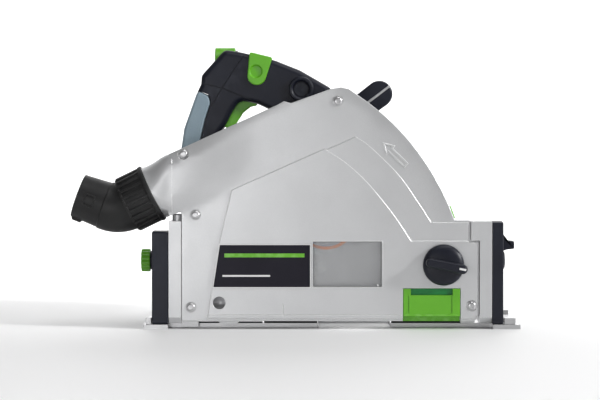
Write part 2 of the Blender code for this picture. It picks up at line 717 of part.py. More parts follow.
def rear_tilt_knob():
    """Green clamp knob on a black-hubbed nut behind the rear tilt segment."""
    profile = [(0.0, -169.6), (3.3, -169.6), (3.3, -157.8), (7.8, -157.8), (8.8, -163.2),
               (10.4, -164.0), (10.4, -170.6), (9.2, -171.6), (0.0, -171.6)]
    knob = turned(profile, (CLAMP_Y, CLAMP_Z), axis="X", steps=18)
    return place(knob, "rear_tilt_knob", "rear_clamp", "green_plastic")


def dust_collar():
    """Ribbed collar of the swivelling dust port."""
    x, y, z = CHUTE_MOUTH
    profile = [(22.9, x - 0.3), (26.0, x - 0.3), (26.0, x - 4.0), (25.2, x - 4.6), (24.2, x - 26.0),
               (22.9, x - 26.5)]
    collar = turned(profile, (y, z), axis="X", steps=24)
    leaned(collar, CHUTE_MOUTH, -CHUTE_SLOPE, "Y")
    return place(collar, "dust_collar", "dust_port", "port_plastic")


def elbow_rings(wall, steps=20):
    """Rings along the elbow: a straight run in the collar, a bend, and the hose end."""
    bend_radius, bend, first_run, last_run = 24.0, 46.0, 23.2, 27.0
    start = Vector(CHUTE_MOUTH)
    heading = 180.0 + CHUTE_SLOPE
    stations = []
    for distance in (1.8, 1.8 + first_run):
        offset = Vector(polar((0.0, 0.0), distance, heading))
        stations.append((start + Vector((offset.x, 0.0, offset.y)), heading, 22.5))
    corner = stations[-1][0]
    hub = polar((corner.x, corner.z), bend_radius, heading - 90.0)
    for i in range(1, 5):
        turned_by = bend * i / 4
        x, z = polar(hub, bend_radius, heading + 90.0 - turned_by)
        stations.append((Vector((x, corner.y, z)), heading - turned_by, 22.5 - i / 4))
    last = stations[-1][0]
    offset = Vector(polar((0.0, 0.0), last_run, heading - bend))
    stations.append((last + Vector((offset.x, 0.0, offset.y)), heading - bend, 19.2))
    rings = []
    for centre, way, radius in stations:
        normal = math.radians(way + 90.0)
        up = Vector((math.cos(normal), 0.0, math.sin(normal)))
        angles = [2 * math.pi * k / steps for k in range(steps)]
        rings.append([centre + (radius - wall) * (Vector((0.0, math.cos(a), 0.0)) + up * math.sin(a))
                      for a in angles])
    return rings


def dust_elbow():
    """Bent outlet that a hose slides onto."""
    return place(loft(elbow_rings(0.0), elbow_rings(DUCT_WALL)), "dust_elbow", "dust_port", "port_plastic")


# ---------------------------------------------------------------- saw unit

def gear_housing():
    """Gear case with the swing arm, the arbor nose, the depth lug and the front handle's foot."""
    lug = polar(PIVOT, LUG_RADIUS, LUG_ANGLE)
    case = slab(capsule(ARBOR, 23.6, MOTOR, 20.3), 16.5, MOTOR_FRONT - GAP)
    arm = slab(capsule(ARBOR, 16.0, PIVOT, 13.0), 16.5, 41.7)
    nose = rod(20.0, 9.5, 17.5, ARBOR, ease=0.6, steps=32)
    lug_rib = slab(capsule((-10.0, 130.0), 9.0, lug, 4.0, 6), 18.0, 32.5)
    grip_rib = slab(capsule((-8.0, 140.0), 9.2, FRONT_GRIP_FOOT, 9.0, 6), 31.0, MOTOR_FRONT - GAP)
    joined(case, arm, nose, lug_rib, grip_rib)
    gear_room = slab(capsule(ARBOR, 21.7, MOTOR, 9.5), 20.0, MOTOR_FRONT + 2.0)
    shaft_bore = rod(9.0, 17.0, 21.0, ARBOR, steps=16)
    bearing_seat = rod(13.8, 8.0, 17.7, ARBOR)
    pin_bore = rod(6.3, 15.0, 43.0, PIVOT)
    cut(case, gear_room, shaft_bore, bearing_seat, pin_bore)
    return place(case, "gear_housing", "saw_unit", "silver_paint")


def motor_housing():
    """Motor barrel with a flange that closes the gear case."""
    flange = slab(capsule(MOTOR, MOTOR_RADIUS, ARBOR, 23.6), MOTOR_FRONT, 49.8)
    barrel = rod(MOTOR_RADIUS - 0.4, 49.0, MOTOR_END, MOTOR, steps=32)
    joined(flange, barrel)
    inside = rod(35.0, 50.0, MOTOR_END + 2.0, MOTOR, steps=32)
    seat = rod(11.3, 43.0, 51.0, MOTOR, steps=20)
    slots = [slab(capsule(polar(MOTOR, 30.0, angle), 2.2, polar(MOTOR, 44.0, angle), 2.1, 2), 132.0, 144.0)
             for angle in range(170, 381, 30)]
    cut(flange, inside, seat, *slots)
    return place(flange, "motor_housing", "saw_unit", "black_plastic")


def motor_end_cap():
    """Round end cap with air slots and a hole for the speed dial."""
    profile = [(0.0, 163.0), (34.5, 163.0), (34.5, MOTOR_END + GAP), (38.2, MOTOR_END + GAP),
               (38.2, 162.0), (36.6, 165.6), (33.0, CAP_END), (0.0, CAP_END)]
    cap = turned(profile, MOTOR, steps=32)
    dial_hole = rod(8.4, 160.0, 170.0, (MOTOR[0], MOTOR[1] + 20.0), steps=20)
    slots = [slab(capsule(polar(MOTOR, 14.0, angle), 1.8, polar(MOTOR, 27.0, angle), 1.7, 2), 160.0, 170.0)
             for angle in range(165, 376, 30)]
    cut(cap, dial_hole, *slots)
    return place(cap, "motor_end_cap", "saw_unit", "black_plastic")


def speed_dial():
    """Thumb wheel for the motor speed."""
    dial = rod(8.0, 163.6, 170.2, (MOTOR[0], MOTOR[1] + 20.0), ease=0.6)
    grip = slab(rectangle(MOTOR[0] - 6.0, MOTOR[1] + 19.0, MOTOR[0] + 6.0, MOTOR[1] + 21.0), 169.5, 172.4)
    return place(joined(dial, grip), "speed_dial", "speed_control", "green_plastic")


def handle_outline():
    """Outer edge of the D-handle, down to the motor barrel."""
    return [(-95.3, 246.4), (-80.3, 244.0), (-49.8, 236.7), (-27.9, 228.0), (0.4, 211.7), (0.6, 204.0),
            (-7.0, 184.0), (-13.0, 166.0), (-14.0, 140.0), (-30.0, 118.0), (-70.0, 99.0), (-104.0, 99.0),
            (-122.0, 106.0), (-131.0, 124.0), (-134.2, 157.6), (-131.4, 175.9), (-119.3, 210.0),
            (-116.6, 215.4), (-116.1, 223.3)]


def finger_gap():
    """Opening of the D-handle."""
    return [(-83.0, 201.5), (-66.0, 198.0), (-52.0, 191.5), (-40.0, 180.0), (-39.0, 165.0),
            (-48.0, 152.0), (-66.0, 134.0), (-90.0, 127.0), (-106.0, 133.0), (-110.0, 150.0),
            (-104.0, 165.0), (-94.0, 180.0)]


def grip_outline():
    """Soft pad along the back of the handle."""
    return [(-119.4, 210.2), (-131.6, 176.0), (-134.4, 157.5), (-133.0, 145.0), (-121.0, 147.0),
            (-117.0, 165.0), (-112.5, 184.0), (-107.6, 199.0), (-109.5, 205.5)]


def trigger_outline():
    """Side of the trigger, concave in front."""
    return [(-85.5, 206.5), (-76.0, 206.5), (-66.8, 200.5), (-66.4, 196.5), (-72.0, 195.5), (-79.0, 190.0),
            (-85.5, 180.0), (-91.0, 174.0), (-97.5, 179.0), (-92.0, 193.0)]


def handle_shell(name, low, high):
    """One half of the D-handle, hollow towards the middle plane."""
    near_side = low < HANDLE_MIDDLE - 1.0
    rims = (5.0, 0.0) if near_side else (0.0, 5.0)
    shell = slab(handle_outline(), low, high, holes=[finger_gap()], round_low=rims[0],
                 round_high=rims[1], steps=2)
    pocket_levels = (low + 3.4, high + 1.0) if near_side else (low - 1.0, high - 3.4)
    pocket = slab(grown(handle_outline(), -4.5), *pocket_levels, holes=[grown(finger_gap(), 4.5)])
    barrel = rod(MOTOR_RADIUS + GAP, low - 5.0, high + 5.0, MOTOR, steps=32)
    cut(pocket, slab(grown(grip_outline(), 4.0), low - 6.0, high + 6.0))
    cut(pocket, rod(MOTOR_RADIUS + 4.0, low - 6.0, high + 6.0, MOTOR, steps=32))
    cut(pocket, rod(14.8, low - 6.0, high + 6.0, (HANDLE_MIDDLE, INLET_Z), axis="X"))
    pad = slab(grown(grip_outline(), GAP), low - 5.0, high + 5.0)
    trigger_room = slab(grown(trigger_outline(), 2.4), HANDLE_MIDDLE - 7.5, HANDLE_MIDDLE + 7.5)
    inlet = rod(12.3, -125.0, -78.0, (HANDLE_MIDDLE, INLET_Z), axis="X")
    cut(shell, pocket, barrel, pad, trigger_room, inlet)
    return place(shell, name, "saw_unit", "black_plastic")


def handle_shells():
    """Near and far halves of the D-handle."""
    handle_shell("handle_shell_near", HANDLE_MIDDLE - HANDLE_HALF, HANDLE_MIDDLE - GAP / 2)
    handle_shell("handle_shell_far", HANDLE_MIDDLE + GAP / 2, HANDLE_MIDDLE + HANDLE_HALF)


def handle_grip():
    """Soft pad across the back of both shells."""
    pad = slab(grip_outline(), HANDLE_MIDDLE - HANDLE_HALF, HANDLE_MIDDLE + HANDLE_HALF,
               round_low=4.0, round_high=4.0, steps=2)
    return place(pad, "handle_grip", "saw_unit", "grip_rubber")


def grip_frame(u, v):
    """Point of the front handle, u along its foot towards the bar and v across it."""
    foot, bar = FRONT_GRIP_FOOT, FRONT_GRIP
    heading = math.degrees(math.atan2(bar[1] - foot[1], bar[0] - foot[0]))
    return turn((bar[0] + u, bar[1] + v), bar, heading)


def half_grip(side):
    """Half of the front handle's bar and foot, on one side of the seam strip."""
    bar = rod(FRONT_GRIP_RADIUS, MOTOR_FRONT + 1.0, GRIP_END, FRONT_GRIP, ease=3.0)
    foot = slab(capsule(FRONT_GRIP_FOOT, FRONT_GRIP_RADIUS - 0.5, FRONT_GRIP, FRONT_GRIP_RADIUS),
                MOTOR_FRONT, GRIP_FOOT_END, round_low=2.0, steps=1)
    joined(bar, foot)
    other_side = rectangle(-60.0, -40.0 * side, 60.0, 1.1 * side)
    away = [grip_frame(u, v) for u, v in other_side]
    return cut(bar, slab(away, MOTOR_FRONT - 5.0, GRIP_END + 5.0))


def front_handle():
    """Bar handle in front of the motor: two halves with a metal seam strip between them."""
    place(half_grip(1), "front_handle_upper", "saw_unit", "black_plastic")
    place(half_grip(-1), "front_handle_lower", "saw_unit", "black_plastic")
    reach = FRONT_GRIP_RADIUS + 0.2
    in_bar = [grip_frame(u, v) for u, v in rectangle(-reach, -0.8, reach, 0.8)]
    in_foot = [grip_frame(u, v) for u, v in rectangle(-33.0, -0.8, -2.0, 0.8)]
    strip = joined(slab(in_bar, MOTOR_FRONT + 1.0, GRIP_END - 3.0),
                   slab(in_foot, MOTOR_FRONT + 1.6, GRIP_FOOT_END - 1.0))
    return place(strip, "front_handle_strip", "saw_unit", "aluminium")


def power_inlet():
    """Socket for the mains lead, in the top rear corner of the handle."""
    profile = [(0.0, -92.0), (6.4, -92.0), (6.4, -103.0), (9.0, -103.0), (9.0, -84.0), (0.0, -84.0)]
    centre = (HANDLE_MIDDLE, INLET_Z)
    cup = turned(profile, centre, axis="X", steps=20)
    pins = [rod(1.1, -101.0, -90.0, (HANDLE_MIDDLE + side * 4.0, INLET_Z), axis="X", steps=8)
            for side in (-1, 1)]
    return place(joined(cup, *pins), "power_inlet", "saw_unit", "black_plastic")


def inlet_collar():
    """Green locking ring around the inlet."""
    ring = rod(12.0, -104.3, -86.0, (HANDLE_MIDDLE, INLET_Z), axis="X", bore=9.3, ease=0.8)
    return place(ring, "inlet_collar", "saw_unit", "green_plastic")


def riving_knife():
    """Knife behind the blade, on an arm that reaches through the guard's slot."""
    lug = polar(PIVOT, SWING, KNIFE_LUG_ANGLE)
    knife = slab(sector(ARBOR, 81.5, 92.0, 215.0, 243.0, 8), -0.9, 0.9)
    root = slab(sector(ARBOR, 82.0, 92.0, 214.6, 222.0, 3), -0.9, 5.5)
    joint = polar(ARBOR, 87.0, 217.0)
    arm = slab(capsule(joint, 4.6, lug, 6.0, 6), 2.5, 5.5)
    stud = rod(6.0, 2.6, 16.2, lug, steps=16)
    return place(joined(knife, root, arm, stud), "riving_knife", "saw_unit", "bare_steel")


def stator():
    """Field core with its winding heads."""
    profile = [(22.5, 66.0), (31.0, 66.0), (31.0, 74.0), (34.7, 74.0), (34.7, 118.0), (31.0, 118.0),
               (31.0, 126.0), (22.5, 126.0)]
    return place(turned(profile, MOTOR, steps=20), "stator", "saw_unit", "copper")


def switch_module():
    """Switch inside the top arm of the handle, over the trigger."""
    body = box((-84.0, 41.0, 210.5), (-62.0, 59.0, 227.0))
    plunger = box((-80.0, 47.0, 209.3), (-76.0, 53.0, 212.0))
    return place(joined(body, plunger), "switch_module", "saw_unit", "black_plastic")


def bearing(name, outer, bore, low, high, centre):
    """Sealed ball bearing, drawn as one ring with a groove on each side."""
    rim = 1.6
    profile = [(bore, low), (bore + rim, low), (bore + rim, low + 0.6), (outer - rim, low + 0.6),
               (outer - rim, low), (outer, low), (outer, high), (bore, high)]
    return place(turned(profile, centre), name, "saw_unit", "bare_steel")


def trigger():
    """Finger trigger, hinged at its top inside the handle."""
    lever = slab(trigger_outline(), HANDLE_MIDDLE - 7.0, HANDLE_MIDDLE + 7.0, round_low=1.0, round_high=1.0,
                 steps=1)
    return place(lever, "trigger", "trigger_link", "green_plastic")


def release_frame(u, v):
    """Point on the plunge release, u along the handle's top edge and v out of it."""
    return turn((RELEASE_TOP[0] + u, RELEASE_TOP[1] + v), RELEASE_TOP, RELEASE_SLOPE)


def plunge_release():
    """Saddle over the handle's top arm that unlocks the plunge."""
    half = 10.6
    crown = [release_frame(u, 2.3) for u in (half, -half)]
    tongue = [release_frame(u, v) for u, v in arc((0.6, -17.0), 8.4, 180.0, 360.0, 8)]
    side = HANDLE_HALF + 2.2
    saddle = slab(crown + tongue, HANDLE_MIDDLE - side, HANDLE_MIDDLE + side,
                  round_low=0.8, round_high=0.8, steps=1)
    under = [release_frame(u, v) for u, v in rectangle(-40.0, -60.0, 40.0, 0.7)]
    room = slab(under, HANDLE_MIDDLE - HANDLE_HALF - GAP, HANDLE_MIDDLE + HANDLE_HALF + GAP)
    return place(cut(saddle, room), "plunge_release", "release_slide", "green_plastic")


def tool_change_lever():
    """Lever beside the handle's top arm that locks the arbor for changing the blade."""
    high = HANDLE_MIDDLE - HANDLE_HALF - GAP
    hub = turned([(7.0, high), (11.3, high), (11.3, high - 2.6), (10.2, high - 3.6), (8.4, high - 3.6),
                  (7.0, high - 2.6)], LEVER_PIN, steps=20)
    tip = polar(LEVER_PIN, 19.0, -43.0)
    arm = slab(capsule(polar(LEVER_PIN, 10.0, -43.0), 3.2, tip, 3.1, 6), high - 3.2, high)
    return place(joined(hub, arm), "tool_change_lever", "tool_lever", "black_plastic")


# ---------------------------------------------------------------- turning parts

def blade_outline():
    """Saw blade's edge: a gullet, a sloping back and a tooth tip, all the way round."""
    points = []
    pitch = 360.0 / BLADE_TEETH
    for tooth in range(BLADE_TEETH):
        start = tooth * pitch
        for radius, share in ((73.8, 0.0), (78.0, 0.22), (BLADE_RADIUS, 0.80), (74.6, 0.86)):
            points.append(polar(ARBOR, radius, start + share * pitch))
    return points


def arbor_parts():
    """Arbor, blade, flanges, screw and the driven gear."""
    shaft = turned([(0.0, 9.3), (3.3, 9.3), (3.3, -0.6), (SHAFT, -0.6), (SHAFT, 42.0), (0.0, 42.0)], ARBOR)
    place(shaft, "arbor", "arbor_line", "bare_steel")
    disc = slab(blade_outline(), -0.9, 0.9, holes=[circle(ARBOR, 10.0, 24)])
    place(disc, "saw_blade", "arbor_line", "bare_steel")
    inner = [(SHAFT + GAP, -0.7), (9.7, -0.7), (9.7, 1.2), (FLANGE_RADIUS, 1.2), (FLANGE_RADIUS, 3.5),
             (12.0, 5.5), (12.0, 8.8), (SHAFT + GAP, 8.8)]
    place(turned(inner, ARBOR, steps=20), "inner_flange", "arbor_line", "bare_steel")
    outer = [(3.3, -5.0), (16.0, -5.0), (FLANGE_RADIUS, -3.2), (FLANGE_RADIUS, -1.2), (3.3, -1.2)]
    place(turned(outer, ARBOR, steps=20), "outer_flange", "arbor_line", "bare_steel")
    screw = turned([(0.0, 8.9), (3.0, 8.9), (3.0, -5.3), (8.5, -5.3), (8.5, -8.4), (7.8, -9.0),
                    (3.2, -9.0), (3.2, -6.6), (0.0, -6.6)], ARBOR, steps=24)
    place(screw, "arbor_screw", "arbor_line", "bare_steel")
    gear = slab(gear_outline(ARBOR, GEAR_TEETH, MOTOR_ANGLE, 0.12), *GEAR_FACE,
                holes=[circle(ARBOR, SHAFT + GAP, 24)])
    return place(gear, "arbor_gear", "arbor_line", "bare_steel")


def rotor():
    """Motor shaft with core, windings and commutator."""
    profile = [(0.0, 21.0), (4.0, 21.0), (4.0, 68.0), (15.0, 70.0), (17.0, 76.0), (21.7, 76.0),
               (21.7, 116.0), (17.0, 116.0), (15.0, 122.0), (4.0, 126.0), (4.0, 128.0), (11.0, 128.0),
               (11.0, 142.0), (4.0, 142.0), (4.0, 158.0), (0.0, 158.0)]
    return place(turned(profile, MOTOR, steps=16), "rotor", "motor_line", "bare_steel")


def rotor_pinion():
    """Pinion on the motor shaft, in mesh with the arbor gear."""
    phase = MOTOR_ANGLE + 180.0 + 180.0 / PINION_TEETH
    teeth = gear_outline(MOTOR, PINION_TEETH, phase, 0.12)
    pinion = slab(teeth, *GEAR_FACE, holes=[circle(MOTOR, 4.3, 20)])
    return place(pinion, "rotor_pinion", "motor_line", "bare_steel")


def fan():
    """Cooling fan: disc, hub and straight vanes."""
    profile = [(4.3, 54.0), (9.0, 54.0), (9.0, 61.5), (32.0, 61.5), (32.0, 63.0), (4.3, 63.0)]
    vanes = [slab([turn((MOTOR[0] + u, MOTOR[1] + v), MOTOR, 40.0 * i + 3.0) for u, v in
                   rectangle(8.0, -0.7, 31.0, 0.7)], 54.5, 62.2) for i in range(9)]
    return place(joined(turned(profile, MOTOR), *vanes), "fan", "motor_line", "green_plastic")


# ---------------------------------------------------------------- the whole saw

def build_base():
    """Sole with its tilt segments and rail cams."""
    base_plate()
    tilt_segment("front", FRONT_SEGMENT)
    tilt_segment("rear", REAR_SEGMENT)
    rail_adjuster("front", 1)
    rail_adjuster("rear", -1)


def build_carriage():
    """Guard, its fittings and everything clamped to it."""
    guard_casting()
    guard_cover()
    for number, centre in enumerate(SCREWS, start=1):
        cover_screw(number, centre)
    label_plate()
    sight_window()
    dust_duct()
    tilt_brackets()
    clamp_bolt("front", 124.6, 129.0, 154.6)
    clamp_bolt("rear", -127.2, -131.6, -168.6)
    pivot_pin()
    pivot_nut()
    plunge_spring()
    depth_scale()
    depth_stop()
    splinter_guard()
    splinter_guard_knob()
    front_tilt_lever()
    rear_tilt_knob()
    dust_collar()
    dust_elbow()


def build_saw_unit():
    """Motor, gears, handles and blade, all on the plunge pivot."""
    gear_housing()
    motor_housing()
    motor_end_cap()
    speed_dial()
    handle_shells()
    handle_grip()
    front_handle()
    power_inlet()
    inlet_collar()
    riving_knife()
    stator()
    switch_module()
    bearing("arbor_bearing", 13.5, SHAFT + GAP, 10.0, 17.4, ARBOR)
    bearing("motor_bearing", 11.0, 4.3, 44.9, 49.6, MOTOR)
    trigger()
    plunge_release()
    tool_change_lever()
    arbor_parts()
    rotor()
    rotor_pinion()
    fan()


for leftover in list(bpy.data.objects):
    bpy.data.objects.remove(leftover)
MATERIALS = {name: make_material(name) for name in FINISHES}
EMPTIES = make_tree()
build_base()
build_carriage()
build_saw_unit()
bpy.context.view_layer.update()
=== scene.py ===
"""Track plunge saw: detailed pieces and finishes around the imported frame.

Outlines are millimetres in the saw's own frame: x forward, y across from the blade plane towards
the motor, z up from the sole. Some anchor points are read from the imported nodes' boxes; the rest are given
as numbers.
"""
import json
import math

import bmesh
import bpy
from mathutils import Matrix, Vector


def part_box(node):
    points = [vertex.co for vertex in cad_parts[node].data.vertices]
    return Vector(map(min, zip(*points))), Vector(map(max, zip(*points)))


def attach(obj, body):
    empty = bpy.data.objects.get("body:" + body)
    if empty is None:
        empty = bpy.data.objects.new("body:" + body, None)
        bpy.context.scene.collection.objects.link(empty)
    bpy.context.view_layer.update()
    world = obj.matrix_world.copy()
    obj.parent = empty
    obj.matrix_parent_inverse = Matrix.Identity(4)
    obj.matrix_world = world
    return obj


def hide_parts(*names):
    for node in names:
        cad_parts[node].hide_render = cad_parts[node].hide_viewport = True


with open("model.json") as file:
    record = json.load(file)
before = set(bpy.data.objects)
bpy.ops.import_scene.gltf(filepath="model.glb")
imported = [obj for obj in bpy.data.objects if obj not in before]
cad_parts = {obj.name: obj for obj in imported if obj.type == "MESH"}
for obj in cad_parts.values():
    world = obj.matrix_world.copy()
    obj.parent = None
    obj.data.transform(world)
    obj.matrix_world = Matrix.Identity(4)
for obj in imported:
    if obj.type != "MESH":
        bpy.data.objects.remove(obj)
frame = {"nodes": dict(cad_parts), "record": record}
bpy.context.view_layer.update()

MM = 0.001
CLEAR = 0.3


def middle_of(node):
    """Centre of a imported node's box, in millimetres."""
    low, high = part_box(node)
    return (low + high) / (2 * MM)


BLADE_Y = middle_of("saw_blade").y
ARBOR = (middle_of("saw_blade").x, middle_of("saw_blade").z)
PIVOT = (middle_of("pivot_pin").x, middle_of("pivot_pin").z)
MOTOR = (middle_of("motor_end_cap").x, middle_of("motor_end_cap").z)
CLAMP = (middle_of("front_clamp_bolt").y - BLADE_Y, middle_of("front_clamp_bolt").z)
SCREWS = [(middle_of(f"cover_screw_{n}").x, middle_of(f"cover_screw_{n}").z) for n in range(1, 6)]
INLET_Z = middle_of("inlet_collar").z
HANDLE_MIDDLE = middle_of("inlet_collar").y - BLADE_Y
HANDLE_HALF = 17.0
COVER_FACE = -14.0
COVER_BACK = -11.0
KNOB = (97.3, 56.4)
WINDOW = (-16.6, 37.1, 43.7, 76.7)
NOTCH = (62.0, 0.0, 112.6, 35.9)
GUARD_RADIUS = 218.3
CHUTE_MOUTH = (-157.0, 6.0, 119.3)
CHUTE_SLOPE = 26.0
MOUTH_RADIUS = 24.7
RELEASE_TOP = (-63.2, 239.6)
RELEASE_SLOPE = -13.5
LEVER_PIN = (-26.8, 210.8)
FRONT_GRIP = (43.5, 207.0)
FRONT_GRIP_FOOT = (22.0, 190.8)
GRIP_END = 150.0

TO_POINT = {
    "X": lambda u, v, w: (w, u + BLADE_Y, v),
    "Y": lambda u, v, w: (u, w + BLADE_Y, v),
    "Z": lambda u, v, w: (u, v + BLADE_Y, w),
}


# ---------------------------------------------------------------- outlines

def turn(point, centre, degrees):
    """Turn a flat point about a centre, counter-clockwise."""
    angle = math.radians(degrees)
    u = point[0] - centre[0]
    v = point[1] - centre[1]
    return (centre[0] + u * math.cos(angle) - v * math.sin(angle),
            centre[1] + u * math.sin(angle) + v * math.cos(angle))


def polar(centre, radius, degrees):
    """Point at a radius and angle from a centre."""
    return turn((centre[0] + radius, centre[1]), centre, degrees)


def arc(centre, radius, start, end, steps):
    """Points along an arc, both ends included."""
    return [polar(centre, radius, start + (end - start) * i / steps) for i in range(steps + 1)]


def swung(origin, pivot, angle, *corners):
    """Rectangle drawn about an origin, then turned about a pivot."""
    return [turn((origin[0] + u, origin[1] + v), pivot, angle) for u, v in rectangle(*corners)]


def circle(centre, radius, steps=40):
    """Points of a full circle."""
    return arc(centre, radius, 0.0, 360.0, steps)[:-1]


def rectangle(u0, v0, u1, v1):
    """Corner points of an upright rectangle."""
    return [(u0, v0), (u1, v0), (u1, v1), (u0, v1)]


def capsule(a, radius_a, b, radius_b, steps=14):
    """Outline of two circles and the straight lines that touch both."""
    heading = math.degrees(math.atan2(b[1] - a[1], b[0] - a[0]))
    distance = math.hypot(b[0] - a[0], b[1] - a[1])
    lean = math.degrees(math.acos((radius_a - radius_b) / distance))
    near = arc(a, radius_a, heading + lean, heading + 360.0 - lean, steps)
    return near + arc(b, radius_b, heading - lean, heading + lean, steps)


def sector(centre, inner, outer, start, end, steps=16, rounded=False):
    """Outline of a ring's sector, with square or round ends."""
    middle = (inner + outer) / 2
    half = (outer - inner) / 2
    points = arc(centre, outer, start, end, steps)
    if rounded:
        points += arc(polar(centre, middle, end), half, end, end + 180.0, 8)[1:-1]
    points += arc(centre, inner, end, start, steps)
    if rounded:
        points += arc(polar(centre, middle, start), half, start + 180.0, start + 360.0, 8)[1:-1]
    return points


def area(points):
    """Signed area of an outline."""
    pairs = zip(points, points[1:] + points[:1])
    return sum(a[0] * b[1] - b[0] * a[1] for a, b in pairs) / 2


def grown(points, distance):
    """The outline moved outwards by a distance, or inwards by a negative one."""
    ordered = points if area(points) > 0 else points[::-1]
    moved = []
    for i, point in enumerate(ordered):
        before = Vector(point) - Vector(ordered[i - 1])
        after = Vector(ordered[(i + 1) % len(ordered)]) - Vector(point)
        first = Vector((before.y, -before.x)).normalized()
        second = Vector((after.y, -after.x)).normalized()
        bisector = (first + second).normalized()
        reach = distance / max(bisector.dot(first), 0.5)
        moved.append((point[0] + bisector.x * reach, point[1] + bisector.y * reach))
    return moved


def softened(points, radius, steps=4, least=18.0):
    """The outline with its corners sharper than a least angle rounded off."""
    ordered = points if area(points) > 0 else points[::-1]
    result = []
    for i, point in enumerate(ordered):
        here = Vector(point)
        back = Vector(ordered[i - 1]) - here
        ahead = Vector(ordered[(i + 1) % len(ordered)]) - here
        bend = 180.0 - math.degrees(back.angle(ahead))
        if bend < least:
            result.append(point)
            continue
        wanted = radius * math.tan(math.radians(bend / 2))
        reach = min(wanted, back.length * 0.45, ahead.length * 0.45)
        start = here + back.normalized() * reach
        end = here + ahead.normalized() * reach
        for k in range(steps + 1):
            share = k / steps
            mixed = start * (1 - share) ** 2 + here * (2 * share * (1 - share)) + end * share ** 2
            result.append((mixed.x, mixed.y))
    return result


# ---------------------------------------------------------------- solids

def solid(bm, name="shape"):
    """Turn a finished bmesh into an object, with its faces pointing out."""
    bmesh.ops.remove_doubles(bm, verts=bm.verts, dist=1e-7)
    bmesh.ops.recalc_face_normals(bm, faces=bm.faces)
    mesh = bpy.data.meshes.new(name)
    bm.to_mesh(mesh)
    bm.free()
    shape = bpy.data.objects.new(name, mesh)
    bpy.context.scene.collection.objects.link(shape)
    return shape


def rim_levels(low, high, round_low, round_high, steps):
    """Heights through a slab and how far its outline is drawn in at each."""
    levels = []
    for i in range(steps + 1 if round_low else 1):
        angle = math.pi / 2 * i / steps
        levels.append((low + round_low * (1 - math.cos(angle)), round_low * (1 - math.sin(angle))))
    upper = []
    for i in range(steps + 1 if round_high else 1):
        angle = math.pi / 2 * i / steps
        upper.append((high - round_high * (1 - math.cos(angle)), round_high * (1 - math.sin(angle))))
    return levels + upper[::-1]


def ring_of(bm, points):
    """A closed loop of vertices and edges; returns the vertices."""
    verts = [bm.verts.new(Vector(point) * MM) for point in points]
    for a, b in zip(verts, verts[1:] + verts[:1]):
        bm.edges.new((a, b))
    return verts


def skin(bm, first, second):
    """Quads between two loops with the same number of vertices."""
    count = len(first)
    for i in range(count):
        j = (i + 1) % count
        bm.faces.new((first[i], first[j], second[j], second[i]))


def fill_loops(bm, loops):
    """Flat faces inside the first loop and outside the others."""
    edges = []
    for loop in loops:
        members = set(loop)
        edges += [edge for edge in bm.edges if set(edge.verts) <= members]
    bmesh.ops.triangle_fill(bm, use_beauty=True, use_dissolve=True, edges=edges)


def slab(outline, low, high, axis="Y", holes=(), round_low=0.0, round_high=0.0, steps=4):
    """Solid of an outline between two levels, with holes and rounded rims if wanted."""
    to_point = TO_POINT[axis]
    bm = bmesh.new()
    previous = None
    levels = rim_levels(low, high, round_low, round_high, steps)
    for number, (level, inset) in enumerate(levels):
        flat_loops = [grown(outline, -inset)] + [grown(hole, inset) for hole in holes]
        loops = [ring_of(bm, [to_point(u, v, level) for u, v in loop]) for loop in flat_loops]
        if number in (0, len(levels) - 1):
            fill_loops(bm, loops)
        if previous:
            for first, second in zip(previous, loops):
                skin(bm, first, second)
        previous = loops
    return solid(bm)


def box(low, high, ease=0.0):
    """Upright box between two corners, with eased edges if wanted."""
    outline = rectangle(low[0], low[1], high[0], high[1])
    if ease:
        outline = softened(outline, 2.0 * ease, 3)
    return slab(outline, low[2], high[2], axis="Z", round_low=ease, round_high=ease, steps=3)


def turned(profile, centre, axis="Y", steps=48):
    """Solid of revolution of (radius, level) points about a line through a flat centre.

    A profile that starts at radius 0 also ends there; any other one is a closed loop.
    """
    to_point = TO_POINT[axis]
    bm = bmesh.new()
    points = [to_point(centre[0] + radius, centre[1], level) for radius, level in profile]
    verts = [bm.verts.new(Vector(point) * MM) for point in points]
    touches_axis = profile[0][0] == 0.0
    for a, b in zip(verts, verts[1:] if touches_axis else verts[1:] + verts[:1]):
        bm.edges.new((a, b))
    first = Vector(to_point(centre[0], centre[1], 0.0))
    second = Vector(to_point(centre[0], centre[1], 1.0))
    bmesh.ops.spin(bm, geom=bm.verts[:] + bm.edges[:], steps=steps, angle=2 * math.pi,
                   cent=first * MM, axis=second - first, use_merge=True)
    bmesh.ops.remove_doubles(bm, verts=bm.verts, dist=1e-6)
    return solid(bm)


def rounded_profile(profile, radius, steps=3):
    """A turned profile with its corners rounded; points on the axis stay."""
    result = []
    last = len(profile) - 1
    closed = profile[0][0] != 0.0
    for i, point in enumerate(profile):
        if not closed and i in (0, last):
            result.append(point)
            continue
        here = Vector(point)
        back = Vector(profile[i - 1]) - here
        ahead = Vector(profile[(i + 1) % len(profile)]) - here
        reach = min(radius, back.length * 0.45, ahead.length * 0.45)
        start = here + back.normalized() * reach
        end = here + ahead.normalized() * reach
        for k in range(steps + 1):
            share = k / steps
            mixed = start * (1 - share) ** 2 + here * (2 * share * (1 - share)) + end * share ** 2
            result.append((mixed.x, mixed.y))
    return result


def rod(radius, low, high, centre, axis="Y", ease=0.0, steps=40):
    """Round bar along an axis, with eased rims."""
    profile = [(0.0, low), (radius, low), (radius, high), (0.0, high)]
    if ease:
        profile = rounded_profile(profile, ease)
    return turned(profile, centre, axis, steps)


def volume(mesh):
    """Volume inside a mesh."""
    bm = bmesh.new()
    bm.from_mesh(mesh)
    inside = bm.calc_volume()
    bm.free()
    return inside


